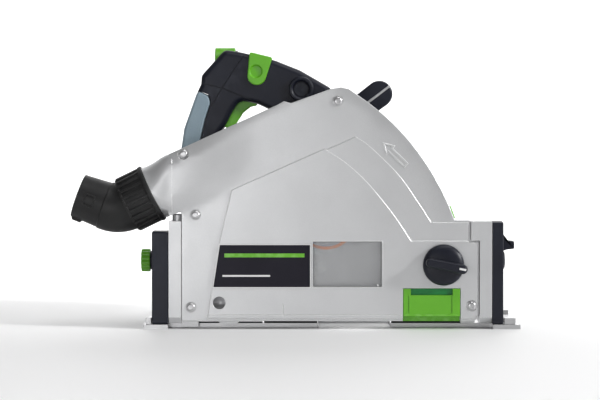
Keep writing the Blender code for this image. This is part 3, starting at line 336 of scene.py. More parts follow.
def combine(shape, tools, operation):
    """Apply a Boolean of a shape with each tool, and remove the tools.

    Where a union comes out smaller than what went in, the tool is kept as a shell of its own.
    """
    for tool in tools:
        modifier = shape.modifiers.new("combine", "BOOLEAN")
        modifier.operation = operation
        modifier.solver = "MANIFOLD"
        modifier.object = tool
        graph = bpy.context.evaluated_depsgraph_get()
        mesh = bpy.data.meshes.new_from_object(shape.evaluated_get(graph))
        shape.modifiers.clear()
        least = max(volume(shape.data), volume(tool.data))
        bm = bmesh.new()
        if operation == "UNION" and volume(mesh) < 0.999 * least:
            bm.from_mesh(shape.data)
            bm.from_mesh(tool.data)
        else:
            bm.from_mesh(mesh)
            bmesh.ops.remove_doubles(bm, verts=bm.verts, dist=2e-6)
            bmesh.ops.dissolve_degenerate(bm, edges=bm.edges, dist=1e-6)
        bm.to_mesh(mesh)
        bm.free()
        shape.data = mesh
        bpy.data.objects.remove(tool)
    return shape


def joined(shape, *tools):
    """Union of a shape with other shapes."""
    return combine(shape, tools, "UNION")


def cut(shape, *tools):
    """The shape with other shapes taken away."""
    return combine(shape, tools, "DIFFERENCE")


def leaned(shape, centre, degrees, axis):
    """Turn a shape's mesh about a line through a point in saw coordinates."""
    middle = (Vector(centre) + Vector((0.0, BLADE_Y, 0.0))) * MM
    spin = Matrix.Rotation(math.radians(degrees), 4, axis)
    shape.data.transform(Matrix.Translation(middle) @ spin @ Matrix.Translation(-middle))
    return shape


def loft(rings, inner=None):
    """Skin over rings of points, closed by inner rings or by flat ends."""
    bm = bmesh.new()
    loops = [ring_of(bm, ring) for ring in rings + (inner[::-1] if inner else [])]
    pairs = zip(loops, loops[1:] + loops[:1]) if inner else zip(loops, loops[1:])
    for first, second in pairs:
        skin(bm, first, second)
    if not inner:
        fill_loops(bm, [loops[0]])
        fill_loops(bm, [loops[-1]])
    return solid(bm)


def diced(shape, pitch):
    """Split a shape's faces along upright and level planes, so that they can be bent."""
    bm = bmesh.new()
    bm.from_mesh(shape.data)
    for axis in (0, 2):
        values = [vert.co[axis] / MM for vert in bm.verts]
        level = math.ceil(min(values) / pitch) * pitch
        while level < max(values):
            point = Vector((0.0, 0.0, 0.0))
            point[axis] = level * MM
            normal = Vector((0.0, 0.0, 0.0))
            normal[axis] = 1.0
            bmesh.ops.bisect_plane(bm, geom=bm.verts[:] + bm.edges[:] + bm.faces[:], dist=1e-7,
                                   plane_co=point, plane_no=normal)
            level += pitch
    bm.to_mesh(shape.data)
    bm.free()
    return shape


def one_of(parts, name):
    """Join separate closed shells into one object without changing them."""
    bm = bmesh.new()
    for part in parts:
        bm.from_mesh(part.data)
        bpy.data.objects.remove(part)
    return solid(bm, name)


SHARP_ANGLE = 35.0


def even_normals(shape):
    """Shade flat faces evenly while sharp edges stay sharp."""
    shape.modifiers.new("even_normals", "WEIGHTED_NORMAL").keep_sharp = True


def place(shape, name, body, slot, nodes=(), finish=None):
    """Name a piece, give it its finish, and say what it rides on and stands for."""
    shape.name = name
    shape.data.name = name
    shape.data.materials.clear()
    shape.data.materials.append(FINISHES[finish or slot])
    shape.data.shade_smooth()
    shape.data.set_sharp_from_angle(angle=math.radians(SHARP_ANGLE))
    even_normals(shape)
    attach(shape, body)
    if nodes:
        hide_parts(*nodes)
    return shape


# ---------------------------------------------------------------- finishes

def add(tree, kind, inputs=(), **settings):
    """Add a shader node, set its own settings, then its input sockets."""
    node = tree.nodes.new("ShaderNode" + kind)
    for key, value in settings.items():
        setattr(node, key, value)
    for key, value in dict(inputs).items():
        node.inputs[key].default_value = value
    return node


def blended(tree, factor, first, second):
    """Colour mix node fed by a factor socket; each colour is a tuple or a socket."""
    mix = add(tree, "Mix", data_type="RGBA")
    tree.links.new(factor, mix.inputs[0])
    for socket, colour in ((mix.inputs[6], first), (mix.inputs[7], second)):
        if isinstance(colour, tuple):
            socket.default_value = (*colour, 1.0)
        else:
            tree.links.new(colour, socket)
    return mix.outputs[2]


def ramped(tree, value, low, high, to_low, to_high):
    """Map a value from one range to another, clamped."""
    ramp = add(tree, "MapRange", {1: low, 2: high, 3: to_low, 4: to_high})
    tree.links.new(value, ramp.inputs[0])
    return ramp.outputs[0]


def textured(tree, where, kind, scale, stretch=(1.0, 1.0, 1.0), **settings):
    """Noise or Voronoi value over the object, in features per metre."""
    mapping = add(tree, "Mapping", {"Scale": stretch})
    tree.links.new(where, mapping.inputs["Vector"])
    texture = add(tree, "Tex" + kind, {"Scale": scale, **settings})
    tree.links.new(mapping.outputs[0], texture.inputs["Vector"])
    return texture.outputs[0]


def make_finish(name, colour, second, roughness, metallic=0.0, grain=1500.0, depth=0.02,
                stretch=(1.0, 1.0, 1.0), leather=0.0, wear_and_highlight=(0.6, 0.6, 0.6), wear_amount=0.35,
                dust=0.0, edge=0.35, rim=0.1, spread=0.05, **constants):
    """Moulded, painted or ground finish: tone and gloss that vary, a fine grain, worn edges, and a painted
    highlight that lightens sharp edges towards the same pale colour that worn spots get.
    """
    material = bpy.data.materials.new("finish_" + name)
    material.use_nodes = True
    tree = material.node_tree
    shader = tree.nodes["Principled BSDF"]
    where = add(tree, "TexCoord").outputs["Object"]
    cloud = textured(tree, where, "Noise", 28.0, Detail=4.0)
    fine = textured(tree, where, "Noise", grain, stretch, Detail=3.0)
    tone = blended(tree, ramped(tree, cloud, 0.35, 0.65, 0.0, 1.0), colour, second)
    speck = blended(tree, ramped(tree, fine, 0.3, 0.7, 0.0, 0.22), tone, tuple(0.55 * c for c in colour))
    geometry = add(tree, "NewGeometry")
    rubbed = ramped(tree, geometry.outputs["Pointiness"], 0.53, 0.60, 0.0, wear_amount)
    patch = ramped(tree, textured(tree, where, "Noise", 160.0, Detail=5.0), 0.42, 0.62, 0.0, 1.0)
    both = add(tree, "Math", operation="MULTIPLY")
    tree.links.new(rubbed, both.inputs[0])
    tree.links.new(patch, both.inputs[1])
    worn = blended(tree, both.outputs[0], speck, wear_and_highlight)
    # Painted highlight: where the bevelled normal turns away from the surface's own normal, the colour is
    # mixed towards the pale colour by the rim amount, so sharp edges read as lit.
    bevel = add(tree, "Bevel", {"Radius": edge * MM}, samples=4)
    along = add(tree, "VectorMath", operation="DOT_PRODUCT")
    tree.links.new(bevel.outputs[0], along.inputs[0])
    tree.links.new(geometry.outputs["Normal"], along.inputs[1])
    corner = ramped(tree, along.outputs["Value"], 0.998, 0.93, 0.0, rim)
    tree.links.new(blended(tree, corner, worn, wear_and_highlight), shader.inputs["Base Color"])
    gloss = ramped(tree, textured(tree, where, "Noise", 60.0, Detail=6.0), 0.3, 0.7,
                   roughness - spread, roughness + spread + dust)
    tree.links.new(gloss, shader.inputs["Roughness"])
    shader.inputs["Metallic"].default_value = metallic
    for key, value in constants.items():
        shader.inputs[key.replace("_", " ").title().replace("Ior", "IOR")].default_value = value
    bump = add(tree, "Bump", {"Strength": 0.8, "Distance": depth * MM})
    tree.links.new(fine, bump.inputs["Height"])
    tree.links.new(bevel.outputs[0], bump.inputs["Normal"])
    surface = bump.outputs[0]
    if leather:
        cells = textured(tree, where, "Voronoi", leather, Randomness=0.9)
        pebble = add(tree, "Bump", {"Strength": 0.6, "Distance": 0.12 * MM})
        tree.links.new(cells, pebble.inputs["Height"])
        tree.links.new(surface, pebble.inputs["Normal"])
        surface = pebble.outputs[0]
    tree.links.new(surface, shader.inputs["Normal"])
    return material


FINISHES = {
    # Silver paint has no rubbed wear; rim=0.95 paints a strong highlight along every sharp edge.
    "silver_paint": make_finish(
        "silver_paint", (0.62, 0.625, 0.635), (0.65, 0.655, 0.665), 0.34, 0.6, grain=2600.0, spread=0.02,
        depth=0.010, wear_and_highlight=(0.93, 0.93, 0.93), wear_amount=0.0, edge=0.6, rim=0.95,
        coat_weight=0.12, coat_roughness=0.35),
    "die_cast": make_finish(
        "die_cast", (0.42, 0.425, 0.43), (0.50, 0.505, 0.51), 0.5, 0.8, grain=900.0, depth=0.05,
        spread=0.02, wear_and_highlight=(0.75, 0.75, 0.75), wear_amount=0.08, rim=0.3),
    "black_plastic": make_finish(
        "black_plastic", (0.005, 0.006, 0.014), (0.008, 0.010, 0.020), 0.42, grain=2200.0,
        depth=0.03, wear_and_highlight=(0.04, 0.045, 0.06), specular_ior_level=0.35),
    "port_plastic": make_finish(
        "port_plastic", (0.007, 0.007, 0.0075), (0.011, 0.011, 0.0115), 0.50, grain=1500.0,
        depth=0.05, wear_and_highlight=(0.04, 0.04, 0.04), dust=0.06, specular_ior_level=0.4),
    "dark_label": make_finish(
        "dark_label", (0.007, 0.006, 0.013), (0.010, 0.009, 0.017), 0.42, grain=4000.0,
        depth=0.003, wear_amount=0.0, specular_ior_level=0.22),
    "label_line": make_finish(
        "label_line", (0.78, 0.78, 0.78), (0.84, 0.84, 0.84), 0.42, grain=4000.0, depth=0.003,
        wear_amount=0.0),
    "green_plastic": make_finish(
        "green_plastic", (0.115, 0.43, 0.011), (0.14, 0.48, 0.016), 0.36, grain=2400.0,
        depth=0.015, wear_and_highlight=(0.3, 0.65, 0.15), coat_weight=0.1, coat_roughness=0.3),
    "recess_shade_green": make_finish(
        "recess_shade_green", (0.0, 0.19, 0.035), (0.005, 0.24, 0.05), 0.4, grain=2400.0, depth=0.015,
        wear_amount=0.0),
    "grip_rubber": make_finish(
        "grip_rubber", (0.25, 0.335, 0.395), (0.29, 0.38, 0.435), 0.55, grain=1800.0, depth=0.03,
        leather=900.0, wear_and_highlight=(0.3, 0.38, 0.44), dust=0.04, sheen_weight=0.25, sheen_roughness=0.5),
    "bare_steel": make_finish(
        "bare_steel", (0.58, 0.58, 0.59), (0.61, 0.61, 0.62), 0.32, 1.0, grain=700.0, spread=0.015,
        stretch=(0.06, 1.0, 6.0), depth=0.006, wear_and_highlight=(0.8, 0.8, 0.8), wear_amount=0.06, rim=0.4),
    "blade_steel": make_finish(
        "blade_steel", (0.33, 0.33, 0.34), (0.37, 0.37, 0.38), 0.36, 1.0, grain=900.0, spread=0.02,
        stretch=(0.08, 1.0, 5.0), depth=0.006, wear_and_highlight=(0.7, 0.7, 0.7)),
    "aluminium": make_finish(
        "aluminium", (0.70, 0.70, 0.71), (0.73, 0.73, 0.74), 0.34, 1.0, grain=800.0, spread=0.02,
        stretch=(0.05, 1.0, 4.0), depth=0.008, wear_and_highlight=(0.85, 0.85, 0.85), wear_amount=0.06, rim=0.4),
    "copper": make_finish(
        "copper", (0.55, 0.22, 0.09), (0.63, 0.28, 0.12), 0.38, 1.0, grain=1400.0,
        stretch=(0.2, 8.0, 1.0), depth=0.05, wear_and_highlight=(0.8, 0.5, 0.3)),
    "orange_print": make_finish(
        "orange_print", (0.72, 0.17, 0.01), (0.80, 0.21, 0.02), 0.4, grain=3000.0, depth=0.004,
        wear_and_highlight=(0.5, 0.4, 0.3)),
    "carbide": make_finish(
        "carbide", (0.22, 0.22, 0.23), (0.30, 0.30, 0.31), 0.35, 0.9, grain=2500.0, depth=0.01),
    "clear_plastic": make_finish(
        "clear_plastic", (0.80, 0.82, 0.83), (0.86, 0.88, 0.89), 0.10, grain=1500.0, depth=0.002,
        wear_amount=0.0, edge=0.1, alpha=0.12),
}


# ---------------------------------------------------------------- guard

def flowing(points, per=6):
    """Points of a smooth curve through the given ones."""
    padded = [points[0]] + list(points) + [points[-1]]
    result = []
    for a, b, c, d in zip(padded, padded[1:], padded[2:], padded[3:]):
        a, b, c, d = (Vector(point) for point in (a, b, c, d))
        for k in range(per):
            t = k / per
            spot = 0.5 * (2 * b + (c - a) * t + (2 * a - 5 * b + 4 * c - d) * t ** 2
                          + (3 * b - a - 3 * c + d) * t ** 3)
            result.append(tuple(spot))
    return result + [tuple(points[-1])]


def guard_outline():
    """Side outline of the cover, with its corners eased."""
    front = [(107.4, 95.2), (121.3, 95.2), (121.3, 77.3), (128.8, 77.3), (128.8, 12.0), (125.0, 7.0)]
    whole = [(-131.5, 7.0), (-131.5, 103.2), (-143.0, 98.6), (-143.0, 152.9), (-48.0, 196.0),
             (-42.0, 199.3), (-36.0, 197.6), (-1.1, 210.0), (7.9, 211.7), (14.5, 210.2)]
    whole += arc(PIVOT, GUARD_RADIUS, 56.2, 20.2, 36) + front
    return softened(whole, 2.0, 3, 8.0)


INNER_ARC = flowing([(-6.5, 157.8), (12.0, 145.6), (28.5, 130.9), (44.0, 113.1), (58.0, 94.5), (69.1, 77.4)])
OUTER_ARC = flowing([(20.7, 168.4), (34.7, 158.4), (58.1, 135.2), (74.0, 113.1), (86.9, 93.5)])
PANEL_LEFT = [(-109.0, 9.2), (-104.8, 35.4), (-98.6, 74.6), (-87.5, 121.8)]
PANEL_FRONT = [(119.4, 77.4), (119.4, 75.8), (127.2, 75.8), (127.2, 12.8), (123.8, 9.2)]


BASE_FACE = -12.7
STEP_FACE = -13.35


def chute_swell(x, z):
    """How far the cover's face stands out where the chute runs into it."""
    along = max(0.0, x + 140.8)
    fade = min(1.0, along / 78.0)
    fade = 1.0 - fade * fade * (3.0 - 2.0 * fade)
    across = (z - 126.9 - along * math.tan(math.radians(CHUTE_SLOPE))) / 27.0
    depth = 16.2 * max(0.0, 1.0 - across ** 4) ** 0.25 + BASE_FACE + 1.2
    return fade * max(0.0, depth)


def rim_drop(x, z):
    """How far the cover's face falls away along its upper and front edges."""
    to_arc = GUARD_RADIUS - math.hypot(x - PIVOT[0], z - PIVOT[1])
    slope = math.atan2(42.0, 92.5)
    to_top = -(z - 154.0) * math.cos(slope) + (x + 140.5) * math.sin(slope)
    near = min(to_arc, to_top) if x < -2.0 else to_arc
    return 0.95 * max(0.0, 1.0 - max(near, 0.0) / 6.5) ** 2


def hollow(x, z):
    """Shallow dish of the face between the chute and the upper rim."""
    run = (x + 60.0) / 95.0
    rise = (z - 160.0) / 48.0
    return 0.4 * max(0.0, 1.0 - run * run) * max(0.0, 1.0 - rise * rise)


def shape_face(shape):
    """Press the swell, the rolled rim and the shallow dish into the cover's face."""
    for vert in shape.data.vertices:
        x, y, z = vert.co / MM
        depth = COVER_BACK - (y - BLADE_Y)
        share = min(max(depth / (COVER_BACK - BASE_FACE), 0.0), 1.0)
        move = rim_drop(x, z) + hollow(x, z) - chute_swell(x, z)
        vert.co.y += share * move * MM


def superellipse(angle, half_width, half_height):
    """Point of a square-shouldered oval at an angle."""
    across = math.copysign(math.sqrt(abs(math.cos(angle))), math.cos(angle))
    up = math.copysign(math.sqrt(abs(math.sin(angle))), math.sin(angle))
    return half_width * across, half_height * up


def chute_ring(share, wall, steps=48):
    """One ring of the chute, from its round mouth (0) to its square end at the guard (1)."""
    lean = math.radians(CHUTE_SLOPE)
    eased = share * share * (3.0 - 2.0 * share)
    points = []
    for i in range(steps):
        angle = 2 * math.pi * i / steps
        across = (MOUTH_RADIUS - wall) * math.cos(angle)
        up = (MOUTH_RADIUS - wall) * math.sin(angle)
        mouth = Vector((CHUTE_MOUTH[0] - up * math.sin(lean), CHUTE_MOUTH[1] + across,
                        CHUTE_MOUTH[2] + up * math.cos(lean)))
        across, up = superellipse(angle, 16.2 - wall, 27.0 - wall)
        end = Vector((-139.6, -1.2 + across, 126.9 + up))
        spot = mouth.lerp(end, eased)
        spot.x = mouth.x + (end.x - mouth.x) * share
        points.append(Vector((spot.x, spot.y + BLADE_Y, spot.z)))
    return points


def arrow_outline(inset=0.0):
    """Block arrow that shows which way the blade turns."""
    flat = [(0.0, -2.6), (19.0, -2.6), (19.0, -5.6), (29.0, 0.0), (19.0, 5.6), (19.0, 2.6), (0.0, 2.6)]
    return [turn((65.0 + u, 143.2 + v), (65.0, 143.2), 136.0) for u, v in grown(flat, -inset)]


def screw_bore(centre):
    """Counterbore of one cover screw."""
    return turned([(0.0, -8.0), (2.3, -8.0), (2.3, -12.9), (4.9, -12.9), (4.9, -22.0), (0.0, -22.0)],
                  centre, steps=32)


def guard_shell():
    """Cover with its stepped panels and the chute that runs out of it."""
    shell = diced(slab(guard_outline(), BASE_FACE, COVER_BACK, round_low=0.7, steps=3), 6.0)
    shape_face(shell)
    under = [(x - 3.0, z - 3.0) for x, z in INNER_ARC]
    middle = slab(under + [(119.4, 77.2), (119.4, 93.4)] + OUTER_ARC[::-1], STEP_FACE, -11.9,
                  round_low=0.6, steps=2)
    panel = slab(PANEL_LEFT + INNER_ARC + PANEL_FRONT, COVER_FACE, -11.8, round_low=0.65, steps=2)
    rings = [chute_ring(i / 10, 0.0) for i in range(11)]
    inner = [chute_ring(i / 10, 2.2) for i in range(11)]
    joined(shell, middle, panel, loft(rings, inner))
    arrow = slab(arrow_outline(), BASE_FACE - 0.7, -12.2, holes=[arrow_outline(1.2)], round_low=0.3, steps=2)
    joined(shell, arrow)
    scribes = [box((-42.9, -15.0, 11.5), (-42.3, -13.55, 22.0)),
               box((-131.0, -15.0, 12.3), (62.0, -13.75, 12.75))]
    holes = [slab(rectangle(*WINDOW), -16.0, -9.0), slab(rectangle(*NOTCH), -16.0, -9.0),
             slab(circle(PIVOT, 5.6), -16.0, -9.0), slab(circle(KNOB, 3.3), -16.0, -9.0)]
    cut(shell, *holes, *[screw_bore(centre) for centre in SCREWS], *scribes)
    return place(shell, "guard_shell", "carriage", "silver_paint", ["guard_cover", "dust_duct"])


def star(centre, outer, inner, steps=36):
    """Six-lobed outline."""
    middle, swing = (outer + inner) / 2, (outer - inner) / 2
    return [polar(centre, middle + swing * math.cos(math.radians(60.0 * i / steps * 6)), 360.0 * i / steps)
            for i in range(steps)]


def cover_screws():
    """Button-head screws with a six-lobed recess and a shoulder ring."""
    for number, centre in enumerate(SCREWS, start=1):
        head = turned([(0.0, 6.0), (1.9, 6.0), (1.9, -13.2), (4.5, -13.2), (4.6, -13.5), (4.55, -13.9),
                       (3.9, -14.15), (3.7, -13.95), (3.4, -14.5), (2.6, -15.05), (0.0, -15.2)],
                      centre, steps=40)
        cut(head, slab(star(centre, 2.0, 1.35), -17.0, -14.0))
        place(head, f"torx_screw_{number}", "carriage", "bare_steel", [f"cover_screw_{number}"])


def pivot_end():
    """Headed pivot pin, dished at the end that shows through the cover."""
    profile = [(0.0, -6.6), (3.0, -6.9), (5.2, -8.2), (6.4, -9.0), (8.0, -9.0), (9.0, -8.0), (9.0, -5.3),
               (6.0, -5.3), (6.0, 59.0), (0.0, 59.0)]
    place(turned(profile, PIVOT), "pivot_end", "carriage", "bare_steel", ["pivot_pin"], finish="blade_steel")


def rear_post():
    """Short round post behind the guard's rear corner, over the rear bracket."""
    post = rod(5.0, 86.0, 100.6, (-135.2, 0.0), axis="Z", ease=1.2)
    place(post, "rear_post", "carriage", "silver_paint")


def name_plate():
    """Plain dark plate with a pale border; its marks are two plain bars."""
    outline = [(-98.6, 74.5), (-18.4, 74.5), (-18.4, 36.2), (-104.5, 36.2)]
    plate = slab(softened(outline, 0.8), COVER_FACE - 0.7, COVER_FACE + 0.1, round_low=0.2, steps=2)
    place(plate, "name_plate", "carriage", "dark_label", ["label_plate"])
    border = slab(outline, COVER_FACE - 0.8, COVER_FACE - 0.6, holes=[grown(outline, -0.75)])
    place(border, "name_plate_border", "carriage", "silver_paint", finish="label_line")
    bar = slab(rectangle(-94.0, 63.0, -24.0, 66.4), COVER_FACE - 0.85, COVER_FACE - 0.65)
    place(bar, "name_plate_bar", "carriage", "green_plastic")
    line = slab(rectangle(-95.6, 46.0, -54.0, 47.6), COVER_FACE - 0.85, COVER_FACE - 0.65)
    place(line, "name_plate_line", "carriage", "silver_paint", finish="label_line")


def window_frame():
    """Thin raised lip around the sight window."""
    outline = softened(rectangle(*WINDOW), 0.8)
    frame_lip = slab(grown(outline, 1.0), -14.25, -13.6, holes=[outline], round_low=0.2, steps=2)
    place(frame_lip, "window_lip", "carriage", "silver_paint")


def splinter_insert():
    """Green splinter guard with its recess, rib lines, lower flange and slotted stem."""
    left, right = NOTCH[0] + CLEAR, NOTCH[2] - CLEAR
    top = NOTCH[3] - CLEAR
    block = box((left, COVER_FACE, 12.0), (right, -5.0, top), 0.5)
    foot = box((left, -6.5, 6.6), (right, -2.4, 14.0))
    lip = box((left + 0.2, COVER_FACE - 0.5, 11.4), (right - 0.2, -12.0, 13.2), 0.3)
    stem = box((84.0, -10.6, 30.0), (110.0, -7.6, 74.0))
    joined(block, foot, lip, stem)
    recess = box((69.0, -17.0, 29.8), (105.6, -11.4, 40.0))
    slot = slab(capsule((KNOB[0], KNOB[1] - 3.0), 3.4, (KNOB[0], KNOB[1] + 8.0), 3.39), -12.0, -6.0)
    grooves = [box((x, -17.0, 14.0), (x + 0.8, COVER_FACE + 0.7, 29.0)) for x in (66.6, 104.4)]
    cut(block, recess, slot, *grooves)
    place(block, "splinter_insert", "splinter_slide", "green_plastic", ["splinter_guard"])
    # Painted shade: a darker green sheet on the recess floor stands in for the shade inside the recess.
    backing = box((69.2, -11.7, 30.0), (105.4, -11.2, top - 0.1))
    place(backing, "splinter_recess_shade", "splinter_slide", "green_plastic", finish="recess_shade_green")


def clamp_knob():
    """Domed round knob with a thumb bar across it and a pale tip."""
    dome = [(0.0, -14.3), (16.8, -14.3), (17.6, -14.8), (18.0, -15.8), (18.0, -17.6), (17.5, -19.4),
            (16.2, -20.8), (13.5, -21.9), (9.0, -22.6), (0.0, -22.9)]
    disc = turned(dome, KNOB, steps=64)
    outline = capsule((KNOB[0] - 12.0, KNOB[1]), 4.0, (KNOB[0] + 16.4, KNOB[1]), 4.15)
    bar = slab(outline, -30.0, -20.0, round_low=2.2, steps=4)
    leaned(bar, (KNOB[0], 0.0, KNOB[1]), 11.0, "Y")
    shank = rod(3.0, -15.0, -6.4, KNOB)
    place(joined(disc, bar, shank), "clamp_knob", "splinter_clamp", "black_plastic", ["splinter_guard_knob"])
    tip = slab(rectangle(KNOB[0] + 13.2, KNOB[1] - 0.9, KNOB[0] + 19.2, KNOB[1] + 0.9), -30.1, -29.4)
    leaned(tip, (KNOB[0], 0.0, KNOB[1]), 11.0, "Y")
    place(tip, "clamp_knob_mark", "splinter_clamp", "silver_paint", finish="label_line")


# ---------------------------------------------------------------- dust port

def collar_profile(rise):
    """Radius and level points of the ribbed collar, with its flared rim."""
    x = CHUTE_MOUTH[0]
    return [(22.9, x - 0.3), (25.4, x - 0.3), (26.0, x - 0.9), (26.0, x - 3.4), (25.5, x - 4.0),
            (24.1 + rise, x - 4.8), (23.6 + rise, x - 14.0), (22.9 + rise, x - 24.6),
            (24.3, x - 25.2), (24.2, x - 26.3), (22.9, x - 26.5)]


def ribbed_collar():
    """Collar with grip ribs along it and a flared rim at the chute."""
    x, y, z = CHUTE_MOUTH
    collar = turned(collar_profile(0.55), (y, z), axis="X", steps=72)
    ribs = []
    for i in range(24):
        outline = [turn((y + u, z + v), (y, z), 15.0 * i) for u, v in
                   softened(rectangle(23.2, -1.25, 25.35, 1.25), 0.7, 3)]
        ribs.append(slab(outline, x - 25.4, x - 3.6, axis="X", round_low=0.4, round_high=0.4, steps=2))
    body = one_of([collar] + ribs, "collar")
    leaned(body, CHUTE_MOUTH, -CHUTE_SLOPE, "Y")
    return place(body, "ribbed_collar", "dust_port", "port_plastic", ["dust_collar"])


def elbow_stations():
    """Centre, heading and radius along the elbow."""
    bend_radius, bend, first_run = 24.0, 46.0, 23.2
    start = Vector((CHUTE_MOUTH[0], CHUTE_MOUTH[2]))
    heading = 180.0 + CHUTE_SLOPE
    stations = [(Vector(polar(start, distance, heading)), heading, 22.5)
                for distance in (1.8, 8.0, 16.0, 1.8 + first_run)]
    corner = stations[-1][0]
    hub = polar(corner, bend_radius, heading - 90.0)
    for i in range(1, 13):
        turned_by = bend * i / 12
        spot = Vector(polar(hub, bend_radius, heading + 90.0 - turned_by))
        stations.append((spot, heading - turned_by, 22.5 - i / 12))
    last = stations[-1][0]
    for distance, radius in ((1.5, 21.45), (2.1, 21.45), (2.8, 20.75), (8.0, 20.45), (14.0, 20.1),
                             (20.0, 19.75), (24.4, 19.5), (25.4, 19.6), (26.4, 19.5), (27.0, 19.2)):
        stations.append((Vector(polar(last, distance, heading - bend)), heading - bend, radius))
    return stations


def elbow_rings(wall, steps=48):
    """Rings of points around the elbow's stations."""
    rings = []
    for spot, way, radius in elbow_stations():
        up = Vector(polar((0.0, 0.0), 1.0, way + 90.0))
        centre = Vector((spot.x, CHUTE_MOUTH[1] + BLADE_Y, spot.y))
        rings.append([centre + (radius - wall) * Vector((up.x * math.sin(a), math.cos(a), up.y * math.sin(a)))
                      for a in (2 * math.pi * k / steps for k in range(steps))])
    return rings


def on_outlet(shape, along):
    """Move a shape drawn about the outlet's end, level and facing the rear, onto the outlet."""
    spot, way, _ = elbow_stations()[-1]
    centre = Vector((spot.x, CHUTE_MOUTH[1] + BLADE_Y, spot.y)) * MM
    spin = Matrix.Rotation(math.radians(180.0 - way), 4, "Y")
    shift = Matrix.Translation(Vector((along * MM, 0.0, 0.0)))
    shape.data.transform(Matrix.Translation(centre) @ spin @ shift)
    return shape


def smooth_elbow():
    """Bent outlet with a seam bead, a small frame on its side and a lug under its end."""
    elbow = loft(elbow_rings(0.0), elbow_rings(2.2))
    place(elbow, "smooth_elbow", "dust_port", "port_plastic", ["dust_elbow"])
    outline = softened(rectangle(-5.0, -5.5, 5.0, 5.5), 2.2, 4)
    side = -BLADE_Y - 20.6
    mark = slab(outline, side - 0.3, side + 1.4, holes=[grown(outline, -1.1)], round_low=0.3, steps=2)
    place(on_outlet(mark, 12.0), "elbow_side_frame", "dust_port", "port_plastic")
    lug = slab(softened([(0.4, -18.2), (11.5, -18.8), (9.5, -21.9), (2.0, -21.6)], 0.9, 3),
               -BLADE_Y - 4.5, -BLADE_Y + 4.5, round_low=0.6, round_high=0.6, steps=2)
    place(on_outlet(lug, 0.0), "elbow_lug", "dust_port", "port_plastic")


# ---------------------------------------------------------------- sole and tilt guides

def fluted(centre, radius, depth, count, steps=6):
    """Round outline with shallow flutes."""
    total = count * steps
    dips = [depth * max(0.0, math.cos(2 * math.pi * i / steps)) ** 2 for i in range(total)]
    return [polar(centre, radius - dip, 360.0 * i / total) for i, dip in enumerate(dips)]


def tilt_guide(name, faces, marks_side):
    """Upright guide with its arc slot and raised degree marks."""
    inner, outer, radius = faces
    hinge = (0.0, -5.0)
    near_angle = math.degrees(math.acos(COVER_FACE / radius))
    rim = arc(hinge, radius, near_angle, 26.0, 36)
    outline = softened(rim + [(rim[-1][0], 4.3), (COVER_FACE, 4.3)], 2.4, 4, 25.0)
    slot = sector(hinge, 79.2, 86.8, 46.4, 95.6, 24, rounded=True)
    plate = slab(outline, inner, outer, axis="X", holes=[slot], round_low=1.1, round_high=1.1)
    place(plate, name + "_guide", "base", "black_plastic", [name + "_tilt_segment"])
    face = outer if marks_side > 0 else inner
    ticks = []
    for i in range(10):
        long_tick = 4.4 if i % 3 == 0 else 2.6
        angle = 48.0 + 5.0 * i
        flat = [turn((radius - 3.0 - u, -5.0 + v), hinge, angle)
                for u, v in rectangle(0.0, -0.35, long_tick, 0.35)]
        ticks.append(slab(flat, face - 0.12, face + 0.12, axis="X"))
    place(one_of(ticks, "ticks"), name + "_degree_marks", "base", "silver_paint", finish="label_line")


def rail_knob(name, side):
    """Cam in the rail groove with a fluted knob above the ridge."""
    x, groove = side * 152.0, 110.0
    cam = rod(7.0, 1.0, 4.7, (x, groove + 1.6), axis="Z")
    stem = rod(3.0, 4.0, 10.0, (x, groove), axis="Z")
    knob = slab(fluted((x, groove), 8.0, 0.7, 14), 8.5, 12.6, axis="Z", round_low=0.5,
                round_high=0.9, steps=3)
    grip = slab(capsule((x - 5.0, groove), 1.5, (x + 5.0, groove), 1.49), 12.0, 15.0, axis="Z",
                round_high=0.7, steps=3)
    place(joined(cam, stem, knob, grip), name + "_rail_knob", name + "_adjuster", "green_plastic",
          [name + "_adjuster"])


def sole_fittings():
    """Steel stops on the ends of the sole's near lobes and the slides on its ridge."""
    front = joined(box((151.0, -12.0, 4.0), (161.0, -2.0, 9.6), 0.4),
                   box((146.5, -9.5, 4.0), (152.0, -4.5, 6.4), 0.3))
    place(front, "front_stop_clip", "base", "bare_steel")
    rear = joined(box((-163.0, -12.0, 4.0), (-157.9, -2.0, 9.9), 0.4),
                  box((-161.0, -9.0, 4.0), (-158.0, -5.0, 7.0), 0.3))
    place(rear, "rear_stop_clip", "base", "bare_steel")
    # Painted shade: black strips on the sole, under the cover's lower edge, make the shaded gap there dark.
    seals = [box((left, 3.2, 3.9), (right, 6.4, top), 0.3)
             for left, right, top in ((-127.0, -61.0, 5.2), (-59.5, -12.6, 6.8), (52.6, 124.0, 6.8))]
    place(one_of(seals, "seals"), "gap_shade_strips", "base", "black_plastic", finish="port_plastic")
    for name, side in (("near", -1), ("far", 1)):
        middle = 110.0 + side * 12.8
        strip = slab(softened(rectangle(-138.0, middle - 2.6, 138.0, middle + 2.6), 2.0, 4), 8.1, 8.75,
                     axis="Z",
                     round_high=0.3, steps=2)
        place(strip, name + "_ridge_strip", "base", "black_plastic")


